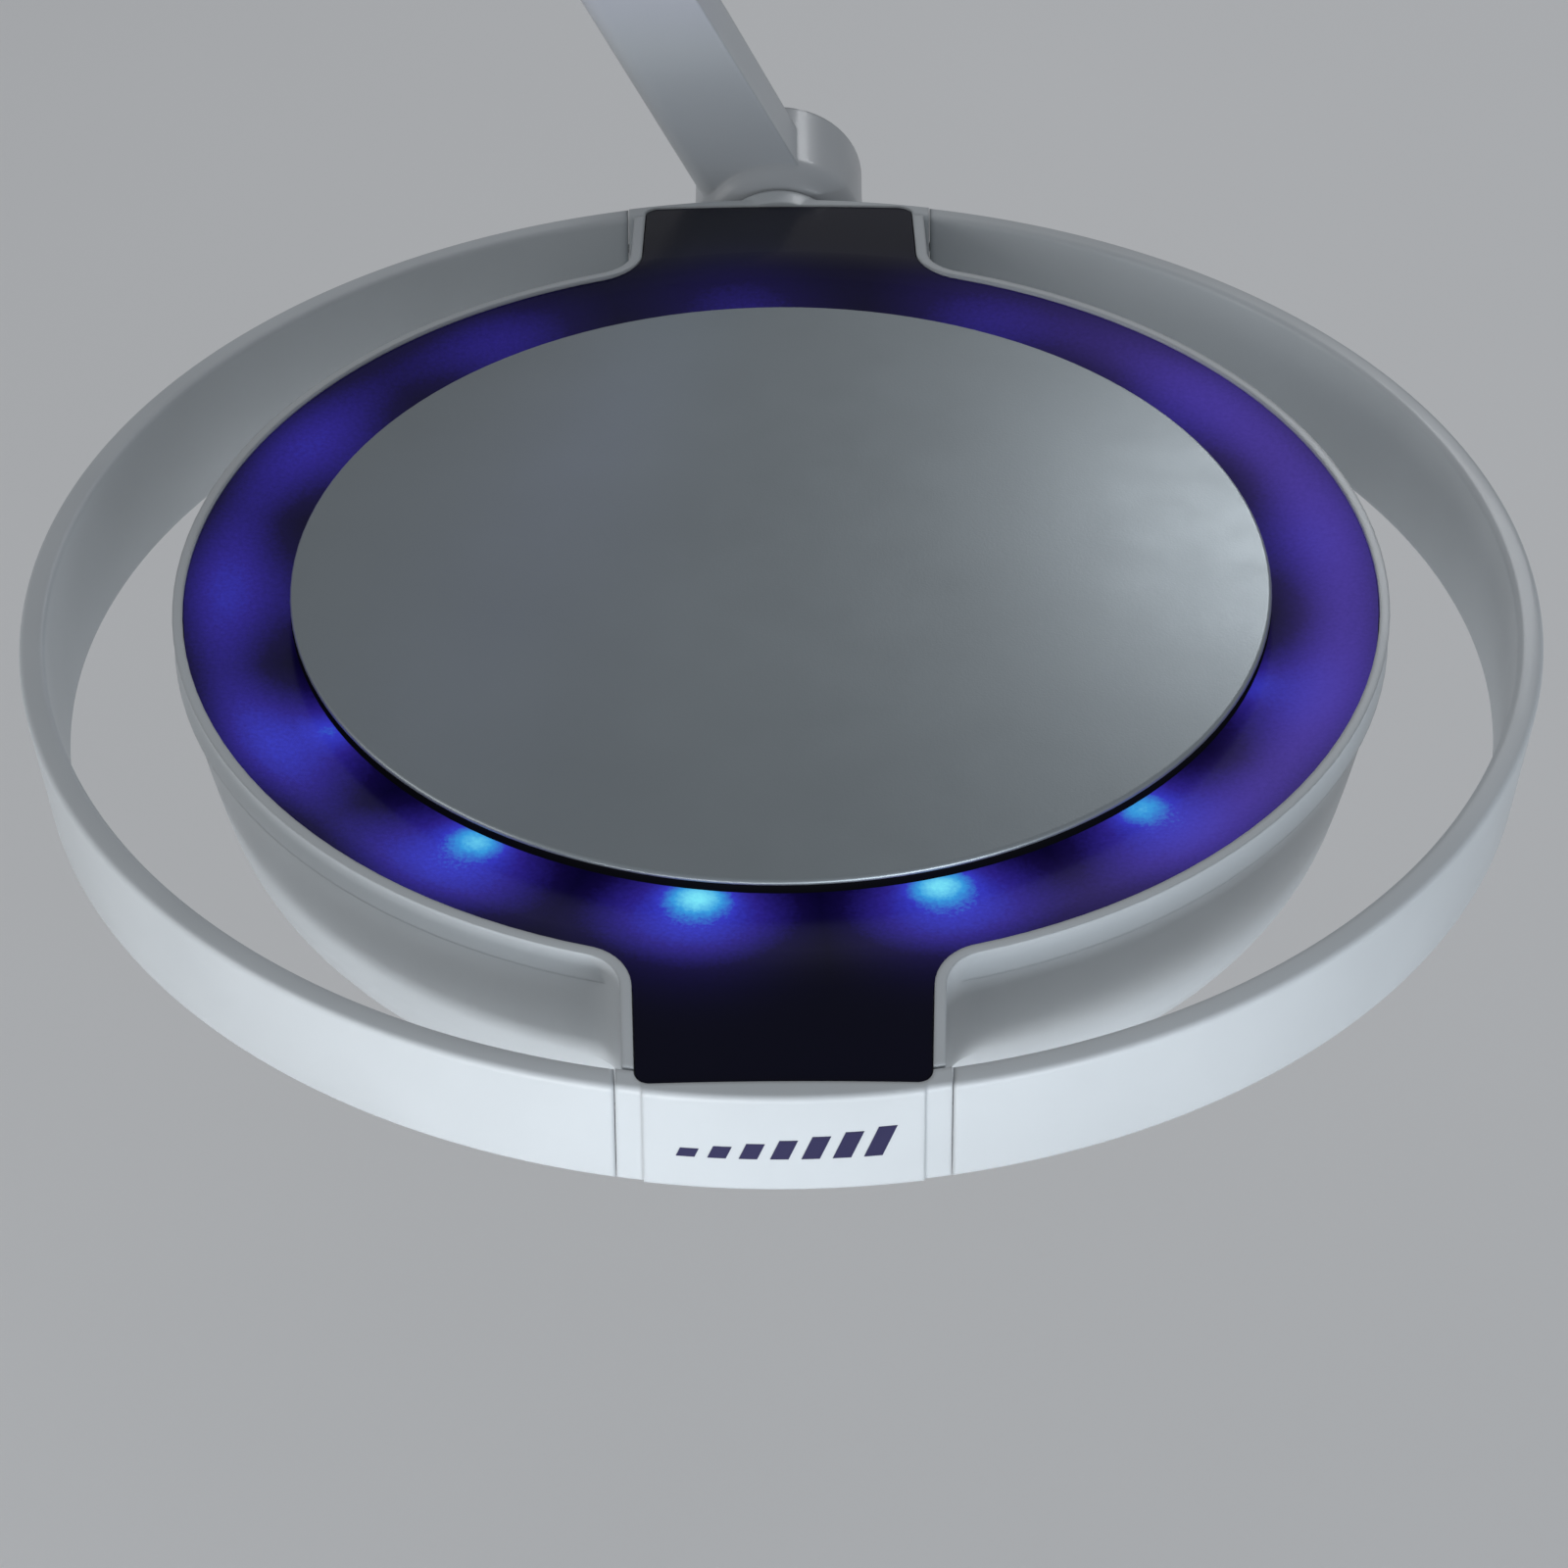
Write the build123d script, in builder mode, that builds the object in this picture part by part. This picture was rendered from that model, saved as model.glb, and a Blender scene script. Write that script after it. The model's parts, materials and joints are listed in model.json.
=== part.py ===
from build123d import *

import os
from math import asin, atan2, cos, degrees, hypot, radians, sin, sqrt

# A ceiling-arm dental operating light. Millimetres, +Z up.
# The origin is the middle of the bearing length of the spigot that plugs into the room's arm.
# Below it hang the yoke, the leaning arm and the round head with its grip ring.

# ---- driving dimensions: fits and clearances ----
RUNNING = 0.05          # radial clearance of a shaft in its bush
SEAT = 0.03             # radial clearance of a bush or screw seated in one body
JOINT_GAP = 0.3         # air between curved faces of different bodies
SEAM = 0.2              # half of the visible seam between two mouldings

# ---- driving dimensions: grip ring ----
RING_R = 200.0          # outer radius at the top edge
BAND_H = 33.7           # height of the band
BAND_TAPER = 5.7        # radius lost from the top edge to the bottom edge
BAND_WALL = 6.9         # radial thickness of the band
BAND_EDGE = 1.6         # rounding of the band's edges
BLOCK_HALF = 41.8       # half width of the band blocks at the necks
BADGE_HALF = 35.0       # half width of the proud badge field
BADGE_PROUD = 0.7       # how far the badge field stands out
DOWEL_R = 1.2
DOWEL_L = 12.0

# ---- driving dimensions: crowned top ----
CROWN_RISE = 21.0       # height of the crown's apex above the ring's top edge
DOME_R = 128.45
DOME_T = 2.5
DOME_SKIRT = 3.8        # depth of the dome's rolled edge
DOME_SKIRT_T = 2.6
WINDOW_T = 2.5
WINDOW_SINK = 0.4       # the tinted window lies this far under the crown
WINDOW_GAP = 0.3        # gap round the window
WINDOW_IN = 124.5       # inner radius of the tinted window
TROUGH_DEPTH = 6.9      # depth of the window's trough at the dome's edge
RIM_SOFTNESS = 45.0     # radius that rounds the trough's outer edge in section
GASKET_T = 1.2
LEDGE = 3.0             # width of the ledge under the window

# ---- driving dimensions: bowl and necks ----
BOWL_R = 159.4
BOWL_WALL = 2.7
SIDE_ARC_R = 418.6      # radius of the bowl's side in section
SIDE_ARC_Z = 79.4       # height of that arc's centre
KNEE_Z = -38.0          # where the side meets the bottom corner
BASE_R = 112.0          # radius of the flat base
NECK_ROOT = 42.0        # half width of a neck at the bowl
NECK_TIP = 39.8         # half width of a neck at the ring
NECK_BOTTOM = -32.0
NECK_FLOOR = 2.6
NECK_BLEND = 12.0       # concave blend between bowl and neck
RIM_W = 3.2             # white rim beside the tinted neck panel
NECK_END_WALL = 8.0
PANEL_END = 5.6         # the tinted panel stops this far inside the ring's outer edge
PANEL_CORNER = 4.0

# ---- driving dimensions: fixings of the head ----
DOWEL_LEVELS = (-0.3, -0.7)     # dowel heights, as shares of the band's height
BAND_SCREW_X = 22.0
BAND_SCREW_R = 2.0
BAND_SCREW_BITE = 4.5           # how far a band screw reaches into the band
BAND_SCREW_HEAD = (3.5, 2.5)    # radius and height of a screw's head, here and below
BEZEL_SCREW_R = 1.5
BEZEL_SCREW_HEAD = (2.8, 1.6)
BEZEL_SCREW_L = 6.5
DOME_BOSS_CIRCLE = 96.0
DOME_BOSS_R = 4.5
DOME_BOSSES = 6
DOME_SCREW_R = 1.6
DOME_SCREW_BITE = 9.0
SMALL_HEAD = (2.8, 1.8)
DECK_POSTS = 4
DECK_POST_CIRCLE = 104.0
DECK_POST_START = 45.0
DECK_SCREW_R = 2.0
DECK_SCREW_BITE = 6.0
DECK_SCREW_HEAD = (3.5, 2.2)
SINK_SCREW_R = 1.8
SINK_SCREW_L = 12.0
SINK_SCREW_HEAD = (3.2, 2.4)
BRACKET_SCREW_R = 2.5
BRACKET_SCREW_HEAD = (4.2, 3.0)
BRACKET_SCREW_X = 12.0
BRACKET_SCREW_Y = (74.0, 96.0)
GRUB_R = 2.0
GRUB_BACK = (10.0, 26.0)        # grub screws, from the bracket's end
GRUB_SPOT = 1.0                 # extra radius of the flat under a grub screw
SOCKET_SHARE = 0.55             # hexagon socket against its head's radius
SOCKET_DEPTH = 0.6              # socket's depth against its head's height

# ---- driving dimensions: touch board under the front neck panel ----
TOUCH_TOP = -2.2
TOUCH_SIZE = (48.0, 18.0)
TOUCH_Y = -168.0
TOUCH_POST_X = 18.0
TOUCH_POST_R = 3.0
TOUCH_CORNER = 2.0
TOUCH_PAD_R = 3.0
TOUCH_PADS = 3

# ---- driving dimensions: light engine ----
GLASS_R = 103.0
GLASS_T = 3.0
FLANGE_IN = 96.0
FLANGE_T = 2.6
BEZEL_T = 2.6
BEZEL_CHAMFER = 0.9
BEZEL_IN = 97.5
BEZEL_SCREWS = 8
SINK_R = 112.0
SINK_TOP = -34.0
SINK_T = 6.0
TONGUE_HALF = 22.0      # half width of the bracket's tongue on the heat sink
TONGUE_IN = 62.0        # where the tongue starts, from the head's centre
BRACKET_HALF = 26.0
FIN_R = 97.0
FIN_TOP = -13.5
FIN_T = 2.2
FIN_PITCH = 11.0
BOARD_T = 1.6
LED_BOARD_R = 98.0
LED_SIDE = 3.5
LED_H = 1.0
LENS_R = 11.5
LENS_NECK_R = 4.5
LENS_H = 14.0
LENS_FLANGE = 1.5
LENS_GAP = 0.5          # air between an LED and its lens
LENS_RINGS = ((28.0, 6), (56.0, 12), (84.0, 18))
HOLDER_T = 2.0
POST_CIRCLE = 106.0
POST_R = 4.0
POST_COUNT = 6
DECK_Z = -4.0
DECK_T = 2.0
DECK_R = 149.0
DECK_IN = 72.0
UPSTAND_OUT = 115.0     # outer radius of the wall under the halo board
UPSTAND_T = 2.5
STEP_T = 2.5            # thickness of the wall under the window's inner edge
STANDOFF_CIRCLE = 80.0
STANDOFF_R = 3.0
STANDOFF_START = 15.0
STANDOFFS = 4
DRIVER_SCREW_END = 1.0  # how far a driver screw comes through its board
DRIVER_R = 88.0
DRIVER_STANDOFF = 4.0
HALO_LEDS = 13
HALO_PHASE = -155.0     # angle of the first halo LED, in degrees
HALO_RING_IN = 108.0
HALO_RING_OUT = 119.5
HALO_LED = (3.0, 6.0, 2.4)   # radial, tangential and vertical size of one halo LED
# driver electronics: (x, y) of the parts from the head's centre, and their sizes
CAPACITORS = ((-36, 18), (-36, -6), (-36, -30))
CAPACITOR_R = 8.0
CAPACITOR_H = 16.0
COIL_AT = (28, 26)
COIL_SIZE = (34, 26, 13)
CHIP_AT = (4, -14)
CHIP_SIZE = (14, 14, 3)
SMALL_CHIPS_AT = (34, -20)
SMALL_CHIP_PITCH = (9, 12)
SMALL_CHIP_GRID = (3, 3)
SMALL_CHIP_SIZE = (5, 8)

# ---- driving dimensions: roll shaft, arm, yoke and spigot ----
ROLL_Z = -16.0          # height of the roll axis, under the ring's top edge
SHAFT_R = 9.0
SHAFT_BORE = 5.5
SHAFT_SET_IN = 12.0     # the shaft starts this far inside the bracket's block
SHAFT_CHAMFER = 0.5
BORE_CLEAR = 0.5        # air round the shaft and round screws that pass through
BOSS_R = 18.0           # boss on the rear band that carries the thrust washer
BOSS_INSET = 2.0        # the thrust washer stops this far inside the boss's edge
KNUCKLE_GAP = 2.0       # from the ring's outer edge to the knuckle
KNUCKLE_R = 23.4
KNUCKLE_L = 33.0
KNUCKLE_FRONT_ROUND = 8.0
KNUCKLE_BACK_ROUND = 8.0
POCKET_R = 16.5         # pocket in the knuckle's back, closed by the cap
CAP_T = 2.4
FRONT_BUSH_L = 15.0
REAR_WALL = 18.0        # from the front bush's flange to the pocket's floor
NUT_T = 5.0
NUT_R = 13.0            # across a nut's corners, as a radius
NUT_THREAD_R = 8.0
NUT_EDGE = 0.4
SPRING_R = 14.0
SPRING_T = 1.2
SPRING_COUNT = 2
ARM_L = 320.0           # between the roll axis and the tilt axis
ARM_LEAN = 27.0         # from the vertical, in degrees
ARM_W = 30.0
ARM_DEPTH = 20.0
ARM_ROOT_DEPTH = 17.0
ARM_SET_BACK = 5.0      # from the knuckle's front to the arm's front face
ARM_WALL = 3.5
ARM_FLARE = 60.0        # length over which the arm deepens
ARM_INTO_KNUCKLE = 6.0  # the bar starts this far from the roll axis
ARM_INTO_BARREL = 6.0   # and stops this far from the tilt axis
ARM_SOFT_EDGE = 6.0     # rounding of the bar's left edges
ARM_CRISP_EDGE = 2.2    # rounding of its right edges
COVER_AFTER_FLARE = 4.0
COVER_END = 40.0        # the cover stops this far short of the tilt axis
COVER_GAP = 0.15
COVER_BOSS = 4.0
COVER_SCREW_IN = 8.0    # cover screws, from the cover's ends
COVER_SCREW_R = 1.5
COVER_SCREW_L = 9.0
COVER_T = 2.5
TILT_BARREL_R = 21.0
TILT_BARREL_W = 27.0
HINGE_R = 6.0
HINGE_HEAD_R = 9.0
HINGE_HEAD_T = 4.0
HINGE_SOCKET = 4.2
HINGE_CHAMFER = 0.8
HINGE_WASHER_T = 1.5
HINGE_WASHER_LIP = 0.8  # the washer stands out this far round its nut
HINGE_NUT_T = 6.0
HINGE_NUT_R = 10.4
HINGE_END = 1.0         # thread beyond the nut
HINGE_CAP_R = 14.5
HINGE_CAP_T = 1.8
TILT_BUSH_L = 12.0
BUSH_WALL = 2.0
BUSH_FLANGE_T = 1.5
BUSH_LIP = 2.4          # a bush's flange stands out this far
DISC_T = 1.0
EAR_T = 5.2
EAR_R = 20.0
DISC_INSET = 2.0        # a friction disc stops this far inside the ear's edge
YOKE_SHOULDER = 6.7
YOKE_EDGE = 2.0
BRIDGE_GAP = 15.0       # between the tilt barrel and the bridge
BRIDGE_T = 8.0
HUB_R = 19.0
HUB_H = 36.0
HUB_BUSH_L = 14.0
SPIGOT_R = 8.0
SPIGOT_FLANGE_R = 18.0
SPIGOT_FLANGE_T = 6.0
SPIGOT_PLAIN = 30.0     # plain bearing length above the flange
SPIGOT_GROOVE = 2.2
SPIGOT_TOP = 8.0        # height of the spigot above its groove
SPIGOT_RIM = 1.0        # chamfer of the flange, and depth of the groove
SPIGOT_LEAD = 1.5       # chamfer of the spigot's end
SPIGOT_THREAD_R = 6.0
SPIGOT_THREAD_CHAMFER = 0.7
SPIGOT_THREAD_END = 0.8 # thread beyond the nut
SPIGOT_NUT_T = 5.0
SPIGOT_NUT_R = 10.4
SPIGOT_WASHER_T = 1.4
STOP_TRACK_R = 15.4
STOP_TRACK_DEPTH = 3.0
STOP_PIN_R = 1.8
SWIVEL_LIMIT = 150.0    # each way, in degrees

# ---- derived places ----
CROWN_R = (RING_R**2 + CROWN_RISE**2) / (2 * CROWN_RISE)
ARM_HALF = ARM_DEPTH / 2
KNUCKLE_FRONT = -ARM_HALF - ARM_SET_BACK
RING_TO_ARM = RING_R + KNUCKLE_GAP - KNUCKLE_FRONT
EAR_IN = TILT_BARREL_W / 2 + DISC_T + 2 * RUNNING
EAR_OUT = EAR_IN + EAR_T

# heights above the tilt axis, up the yoke and the spigot
BRIDGE_LOW = TILT_BARREL_R + BRIDGE_GAP
HUB_LOW = BRIDGE_LOW + BRIDGE_T
HUB_TOP = HUB_LOW + HUB_H
FLANGE_LOW = HUB_TOP + BUSH_FLANGE_T + DISC_T + 2 * RUNNING
PIN_LOW = FLANGE_LOW + SPIGOT_FLANGE_T
TILT_DROP = PIN_LOW + SPIGOT_PLAIN / 2

TILT = Vector(0, 0, -TILT_DROP)
KNUCKLE = TILT + Vector(ARM_L * sin(radians(ARM_LEAN)), 0, -ARM_L * cos(radians(ARM_LEAN)))
HEAD = KNUCKLE + Vector(0, -RING_TO_ARM, -ROLL_Z)

# the bowl's section: a long side arc and a corner arc that meet smoothly at the knee
RIM_Z = sqrt(CROWN_R**2 - BOWL_R**2) - (CROWN_R - CROWN_RISE)
SIDE_X = BOWL_R - sqrt(SIDE_ARC_R**2 - (SIDE_ARC_Z - RIM_Z) ** 2)
KNEE_ANGLE = asin((KNEE_Z - SIDE_ARC_Z) / SIDE_ARC_R)
KNEE_X = SIDE_X + SIDE_ARC_R * cos(KNEE_ANGLE)
CORNER_R = (KNEE_X - BASE_R) / cos(KNEE_ANGLE)
CORNER_Z = KNEE_Z - CORNER_R * sin(KNEE_ANGLE)
BASE_Z = CORNER_Z - CORNER_R

WINDOW_R = BOWL_R - BOWL_WALL - WINDOW_GAP
PANEL_Y = RING_R - PANEL_END
OPEN_TOP = CROWN_RISE + 12.0   # a height above everything on the head

head_section = Plane(origin=HEAD, x_dir=(1, 0, 0), z_dir=(0, -1, 0))
head_axis = Axis(HEAD, (0, 0, 1))
roll_axis = Axis(KNUCKLE, (0, 1, 0))
roll_section = Plane(origin=KNUCKLE, x_dir=(0, 1, 0), z_dir=(1, 0, 0))
spigot_section = Plane(origin=TILT, x_dir=(1, 0, 0), z_dir=(0, -1, 0))

os.makedirs("parts", exist_ok=True)


def save(name, part):
    """Label one piece and write it as its own file."""
    part.label = name
    export_step(part, "parts/" + name + ".step")


def head_level(z):
    """Horizontal plane z above the grip ring's top edge, centred on the head."""
    return Plane(origin=HEAD + Vector(0, 0, z))


def head_spot(x, y, z, z_dir=(0, 0, 1)):
    """Plane at a place given from the head's centre; its normal is z_dir."""
    x_dir = (0, 1, 0) if abs(z_dir[0]) > abs(z_dir[1]) + abs(z_dir[2]) else (1, 0, 0)
    return Plane(origin=HEAD + Vector(x, y, z), x_dir=x_dir, z_dir=z_dir)


def tilt_level(z):
    """Horizontal plane z above the tilt axis, centred on the spigot's axis."""
    return Plane(origin=TILT + Vector(0, 0, z))


def across(centre, y):
    """Vertical plane whose normal is +Y, y behind a centre on a cross axis."""
    return Plane(origin=centre + Vector(0, y, 0), x_dir=(1, 0, 0), z_dir=(0, 1, 0))


def across_back(centre, y):
    """Vertical plane whose normal is -Y, y behind a centre on a cross axis."""
    return Plane(origin=centre + Vector(0, y, 0), x_dir=(1, 0, 0), z_dir=(0, -1, 0))


def tilt_under(z):
    """Horizontal plane facing down, z above the tilt axis."""
    return Plane(origin=TILT + Vector(0, 0, z), x_dir=(1, 0, 0), z_dir=(0, 0, -1))


def arm_section(length):
    """Plane square to the arm, so far up from the roll axis; local y is +Y."""
    lean = radians(ARM_LEAN)
    along = Vector(-sin(lean), 0, cos(lean))
    return Plane(origin=KNUCKLE + along * length, x_dir=(cos(lean), 0, sin(lean)), z_dir=along)


def polar(radius, count, start=0.0):
    """Points on a circle, as (x, y)."""
    angles = [radians(start + index * 360 / count) for index in range(count)]
    return [(radius * cos(angle), radius * sin(angle)) for angle in angles]


def crown(radius, drop=0.0):
    """Height of the crowned top at a radius, or of a surface drop under it."""
    return sqrt((CROWN_R - drop) ** 2 - radius**2) - (CROWN_R - CROWN_RISE)


def outer_at(z):
    """Outer radius of the grip band at a height."""
    return RING_R + BAND_TAPER * z / BAND_H


def arc_point(centre_x, centre_z, radius, angle):
    return (centre_x + radius * cos(angle), centre_z + radius * sin(angle))


def bowl_profile(inset):
    """Half section of the bowl, inset by a wall, from the axis out to its side."""
    side_r = SIDE_ARC_R - inset
    top_angle = asin((OPEN_TOP - SIDE_ARC_Z) / side_r)
    side = [arc_point(SIDE_X, SIDE_ARC_Z, side_r, angle)
            for angle in (top_angle, (top_angle + KNEE_ANGLE) / 2, KNEE_ANGLE)]
    half_turn = (KNEE_ANGLE - radians(90)) / 2
    corner = [arc_point(BASE_R, CORNER_Z, CORNER_R - inset, angle)
              for angle in (KNEE_ANGLE, half_turn, -radians(90))]
    with BuildSketch() as profile:
        with BuildLine():
            Line((0, OPEN_TOP), side[0])
            ThreePointArc(*side)
            ThreePointArc(*corner)
            Polyline(corner[2], (0, corner[2][1]), (0, OPEN_TOP))
        make_face()
    return profile.sketch


def neck_points(root, tip, reach, side):
    """Trapezoid plan of one neck; side is -1 in front and 1 behind."""
    start = BASE_R
    return [(-root, side * start), (root, side * start), (tip, side * reach), (-tip, side * reach)]


def neck_plan(inset, reach):
    """Plan of both necks, inset from their side faces."""
    for side in (-1, 1):
        Polygon(*neck_points(NECK_ROOT - inset, NECK_TIP - inset, reach, side), align=None)


def window_plan(inset):
    """Plan of the tinted window: the round part and both neck panels, with rounded corners."""
    with BuildSketch() as plan:
        Circle(WINDOW_R - inset)
        neck_plan(RIM_W + inset, PANEL_Y - inset)
        tips = [v for v in plan.vertices() if abs(v.Y) > PANEL_Y - inset - SEAM]
        fillet(tips, PANEL_CORNER)
        roots = [v for v in plan.vertices()
                 if abs(v.X) > NECK_TIP - RIM_W - inset and abs(hypot(v.X, v.Y) - WINDOW_R + inset) < SEAM]
        fillet(roots, NECK_BLEND + RIM_W + inset)
    return plan.sketch


def surface_line(drop, start):
    """Section line of the window's surface, lowered by drop, from a radius; gives its two ends."""
    low = crown(DOME_R) - TROUGH_DEPTH - drop
    sink = WINDOW_SINK + drop
    far = RING_R + BAND_WALL
    middle = (WINDOW_R + far) / 2
    rim = (WINDOW_R, crown(WINDOW_R, sink))
    Line((start, low), (DOME_R, low))
    TangentArc((DOME_R, low), rim, tangent=(1, 0))
    ThreePointArc(rim, (middle, crown(middle, sink)), (far, crown(far, sink)))
    return (start, low), (far, crown(far, sink))


def soften_rim(profile):
    """Round the section where the trough climbs over the rim of the bowl."""
    rims = [v for v in profile.vertices() if abs(v.X - WINDOW_R) < SEAM]
    fillet(rims, RIM_SOFTNESS)


def window_underside(drop):
    """Solid of revolution under the window's surface lowered by drop."""
    with BuildSketch() as profile:
        with BuildLine():
            inner, outer = surface_line(drop, 0)
            Polyline(outer, (outer[0], BASE_Z), (0, BASE_Z), inner)
        make_face()
        soften_rim(profile)
    with BuildPart() as under:
        with BuildSketch(head_section):
            add(profile.sketch)
        revolve(axis=head_axis)
    return under.part


def window_layer(upper, lower, start, plan):
    """Plate between two depths under the window's surface, from a radius, cut to a plan."""
    with BuildSketch() as profile:
        with BuildLine():
            inner_top, outer_top = surface_line(upper, start)
            inner_low, outer_low = surface_line(lower, start)
            Line(inner_top, inner_low)
            Line(outer_top, outer_low)
        make_face()
        soften_rim(profile)
    with BuildPart() as layer:
        with BuildSketch(head_section):
            add(profile.sketch)
        revolve(axis=head_axis)
        with BuildSketch(head_level(NECK_BOTTOM)):
            add(plan)
        extrude(amount=OPEN_TOP - NECK_BOTTOM, mode=Mode.INTERSECT)
    return layer.part


def ring_section(proud=0.0, grow=0.0):
    """Section of the grip band; proud moves its outer face out and grow thickens it inwards."""
    corners = [
        (RING_R - BAND_WALL - grow, crown(RING_R - BAND_WALL)),
        (RING_R + proud, 0),
        (RING_R - BAND_TAPER + proud, -BAND_H),
        (RING_R - BAND_TAPER - BAND_WALL - grow, -BAND_H),
    ]
    with BuildSketch() as section:
        Polygon(*corners, align=None)
        fillet(section.vertices(), BAND_EDGE)
    return section.sketch


def crown_blank(drop, bottom):
    """Solid under the crown, used to trim what reaches the top surface."""
    far = RING_R + BAND_WALL
    with BuildPart() as blank:
        with BuildSketch(head_section):
            with BuildLine():
                ThreePointArc((0, crown(0, drop)), (far / 2, crown(far / 2, drop)),
                              (far, crown(far, drop)))
                Polyline((far, crown(far, drop)), (far, bottom), (0, bottom), (0, crown(0, drop)))
            make_face()
        revolve(axis=head_axis)
    return blank.part


def cap_screws(planes, head, shank_r, shank_l):
    """Socket-head screws; each plane lies under a head and points out of it."""
    head_r, head_h = head
    with BuildPart() as screws:
        for plane in planes:
            with BuildSketch(plane):
                Circle(shank_r)
            extrude(amount=-shank_l)
            with BuildSketch(plane):
                Circle(head_r)
            extrude(amount=head_h)
            with BuildSketch(plane.offset(head_h)):
                RegularPolygon(head_r * SOCKET_SHARE, 6)
            extrude(amount=-head_h * SOCKET_DEPTH, mode=Mode.SUBTRACT)
    return screws.part


def flanged_bush(plane, inner, outer, length, flange_r):
    """Plain bearing bush; the plane is its flange's outer face and points out of the bore."""
    with BuildPart() as bush:
        with BuildSketch(plane):
            Circle(flange_r)
        extrude(amount=-BUSH_FLANGE_T)
        with BuildSketch(plane):
            Circle(outer)
        extrude(amount=-length)
        with BuildSketch(plane):
            Circle(inner)
        extrude(amount=-length, mode=Mode.SUBTRACT)
    return bush.part


def window_pocket():
    """Space for the window and its gasket, open upwards, with a gap all round."""
    with BuildPart() as pocket:
        with BuildSketch(head_level(NECK_BOTTOM)):
            add(window_plan(-WINDOW_GAP))
        extrude(amount=OPEN_TOP - NECK_BOTTOM)
        add(window_underside(WINDOW_T + GASKET_T), mode=Mode.SUBTRACT)
    return pocket.part


def band_space(gap):
    """Solid of everything outside the grip band's inner face, less a gap."""
    inner = ((RING_R - BAND_WALL - gap, OPEN_TOP), (RING_R - BAND_WALL - gap, crown(RING_R - BAND_WALL)),
             (RING_R - BAND_TAPER - BAND_WALL - gap, -BAND_H),
             (RING_R - BAND_TAPER - BAND_WALL - gap, BASE_Z))
    with BuildPart() as space:
        with BuildSketch(head_section):
            Polygon(*inner, (2 * RING_R, BASE_Z), (2 * RING_R, OPEN_TOP), align=None)
        revolve(axis=head_axis)
    return space.part


# ================= head: housing, top and grip ring =================

NECK_CAVITY_Y = RING_R - BAND_TAPER - BAND_WALL - NECK_END_WALL + 1.0
CAVITY_INSET = RIM_W + LEDGE
FLANGE_TOP = BASE_Z + GLASS_T + GASKET_T + FLANGE_T

BAND_MID_R = outer_at(ROLL_Z) - BAND_WALL

def screw_seat_y(side):
    """Inner face of a neck's end wall, where its screws' heads sit."""
    return side * NECK_CAVITY_Y


def band_screw_planes(side):
    return [head_spot(x, screw_seat_y(side), ROLL_Z, (0, -side, 0)) for x in (-BAND_SCREW_X, BAND_SCREW_X)]


BAND_SCREW_L = BAND_MID_R - NECK_CAVITY_Y + BAND_SCREW_BITE

BEZEL_R = BASE_R + BOWL_WALL
BEZEL_SCREW_CIRCLE = (GLASS_R + BEZEL_R) / 2
bezel_points = polar(BEZEL_SCREW_CIRCLE, BEZEL_SCREWS)

with BuildPart() as head_housing:
    with BuildSketch(head_section):
        add(bowl_profile(0))
    revolve(axis=head_axis)
    with BuildSketch(head_level(NECK_BOTTOM)):
        neck_plan(0, RING_R)
    extrude(amount=OPEN_TOP - NECK_BOTTOM)
    roots = [e for e in edges()
             if abs(abs(e.center().X - HEAD.X) - NECK_ROOT) < 2
             and BASE_R < abs(e.center().Y - HEAD.Y) < BOWL_R
             and e.bounding_box().size.Z > BAND_H / 2]
    fillet(roots, NECK_BLEND)
    with BuildSketch(head_section):
        add(bowl_profile(BOWL_WALL))
    revolve(axis=head_axis, mode=Mode.SUBTRACT)
    with BuildSketch(head_level(NECK_BOTTOM + NECK_FLOOR)):
        neck_plan(CAVITY_INSET, NECK_CAVITY_Y)
    extrude(amount=OPEN_TOP - NECK_BOTTOM, mode=Mode.SUBTRACT)
    # ledge that carries the window, and the base ring that takes glass and bezel
    with BuildSketch(head_section):
        with Locations((WINDOW_R - LEDGE - GASKET_T, -1.0)):
            Rectangle(LEDGE + GASKET_T + BOWL_WALL, RIM_Z, align=(Align.MIN, Align.MIN))
        with Locations((FLANGE_IN, BASE_Z)):
            Rectangle(BASE_R + BOWL_WALL - FLANGE_IN, FLANGE_TOP - BASE_Z, align=(Align.MIN, Align.MIN))
    revolve(axis=head_axis)
    with BuildSketch(head_level(NECK_BOTTOM + NECK_FLOOR)):
        with Locations((-TOUCH_POST_X, TOUCH_Y), (TOUCH_POST_X, TOUCH_Y)):
            Circle(TOUCH_POST_R)
    extrude(amount=TOUCH_TOP - BOARD_T - NECK_BOTTOM - NECK_FLOOR)
    with BuildSketch(head_level(BASE_Z)):
        Circle(GLASS_R + WINDOW_GAP)
    extrude(amount=GLASS_T + GASKET_T, mode=Mode.SUBTRACT)
    add(window_pocket(), mode=Mode.SUBTRACT)
    add(band_space(SEAM), mode=Mode.SUBTRACT)
    # holes for the bezel's screws, the band's screws and the roll shaft
    with BuildSketch(head_level(BASE_Z)):
        with Locations(*bezel_points):
            Circle(BEZEL_SCREW_R + SEAT)
    extrude(amount=BEZEL_SCREW_L, mode=Mode.SUBTRACT)
    for plane in band_screw_planes(-1) + band_screw_planes(1):
        with BuildSketch(plane):
            Circle(BAND_SCREW_R + SEAT)
        extrude(amount=-BAND_SCREW_L, mode=Mode.SUBTRACT)
    with BuildSketch(across(KNUCKLE, -RING_TO_ARM + RING_R)):
        Circle(SHAFT_R + BORE_CLEAR)
    extrude(amount=NECK_CAVITY_Y - RING_R - BAND_WALL, mode=Mode.SUBTRACT)
    add(crown_blank(0, BASE_Z - BEZEL_T), mode=Mode.INTERSECT)
save("head_housing", head_housing.part)

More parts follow.
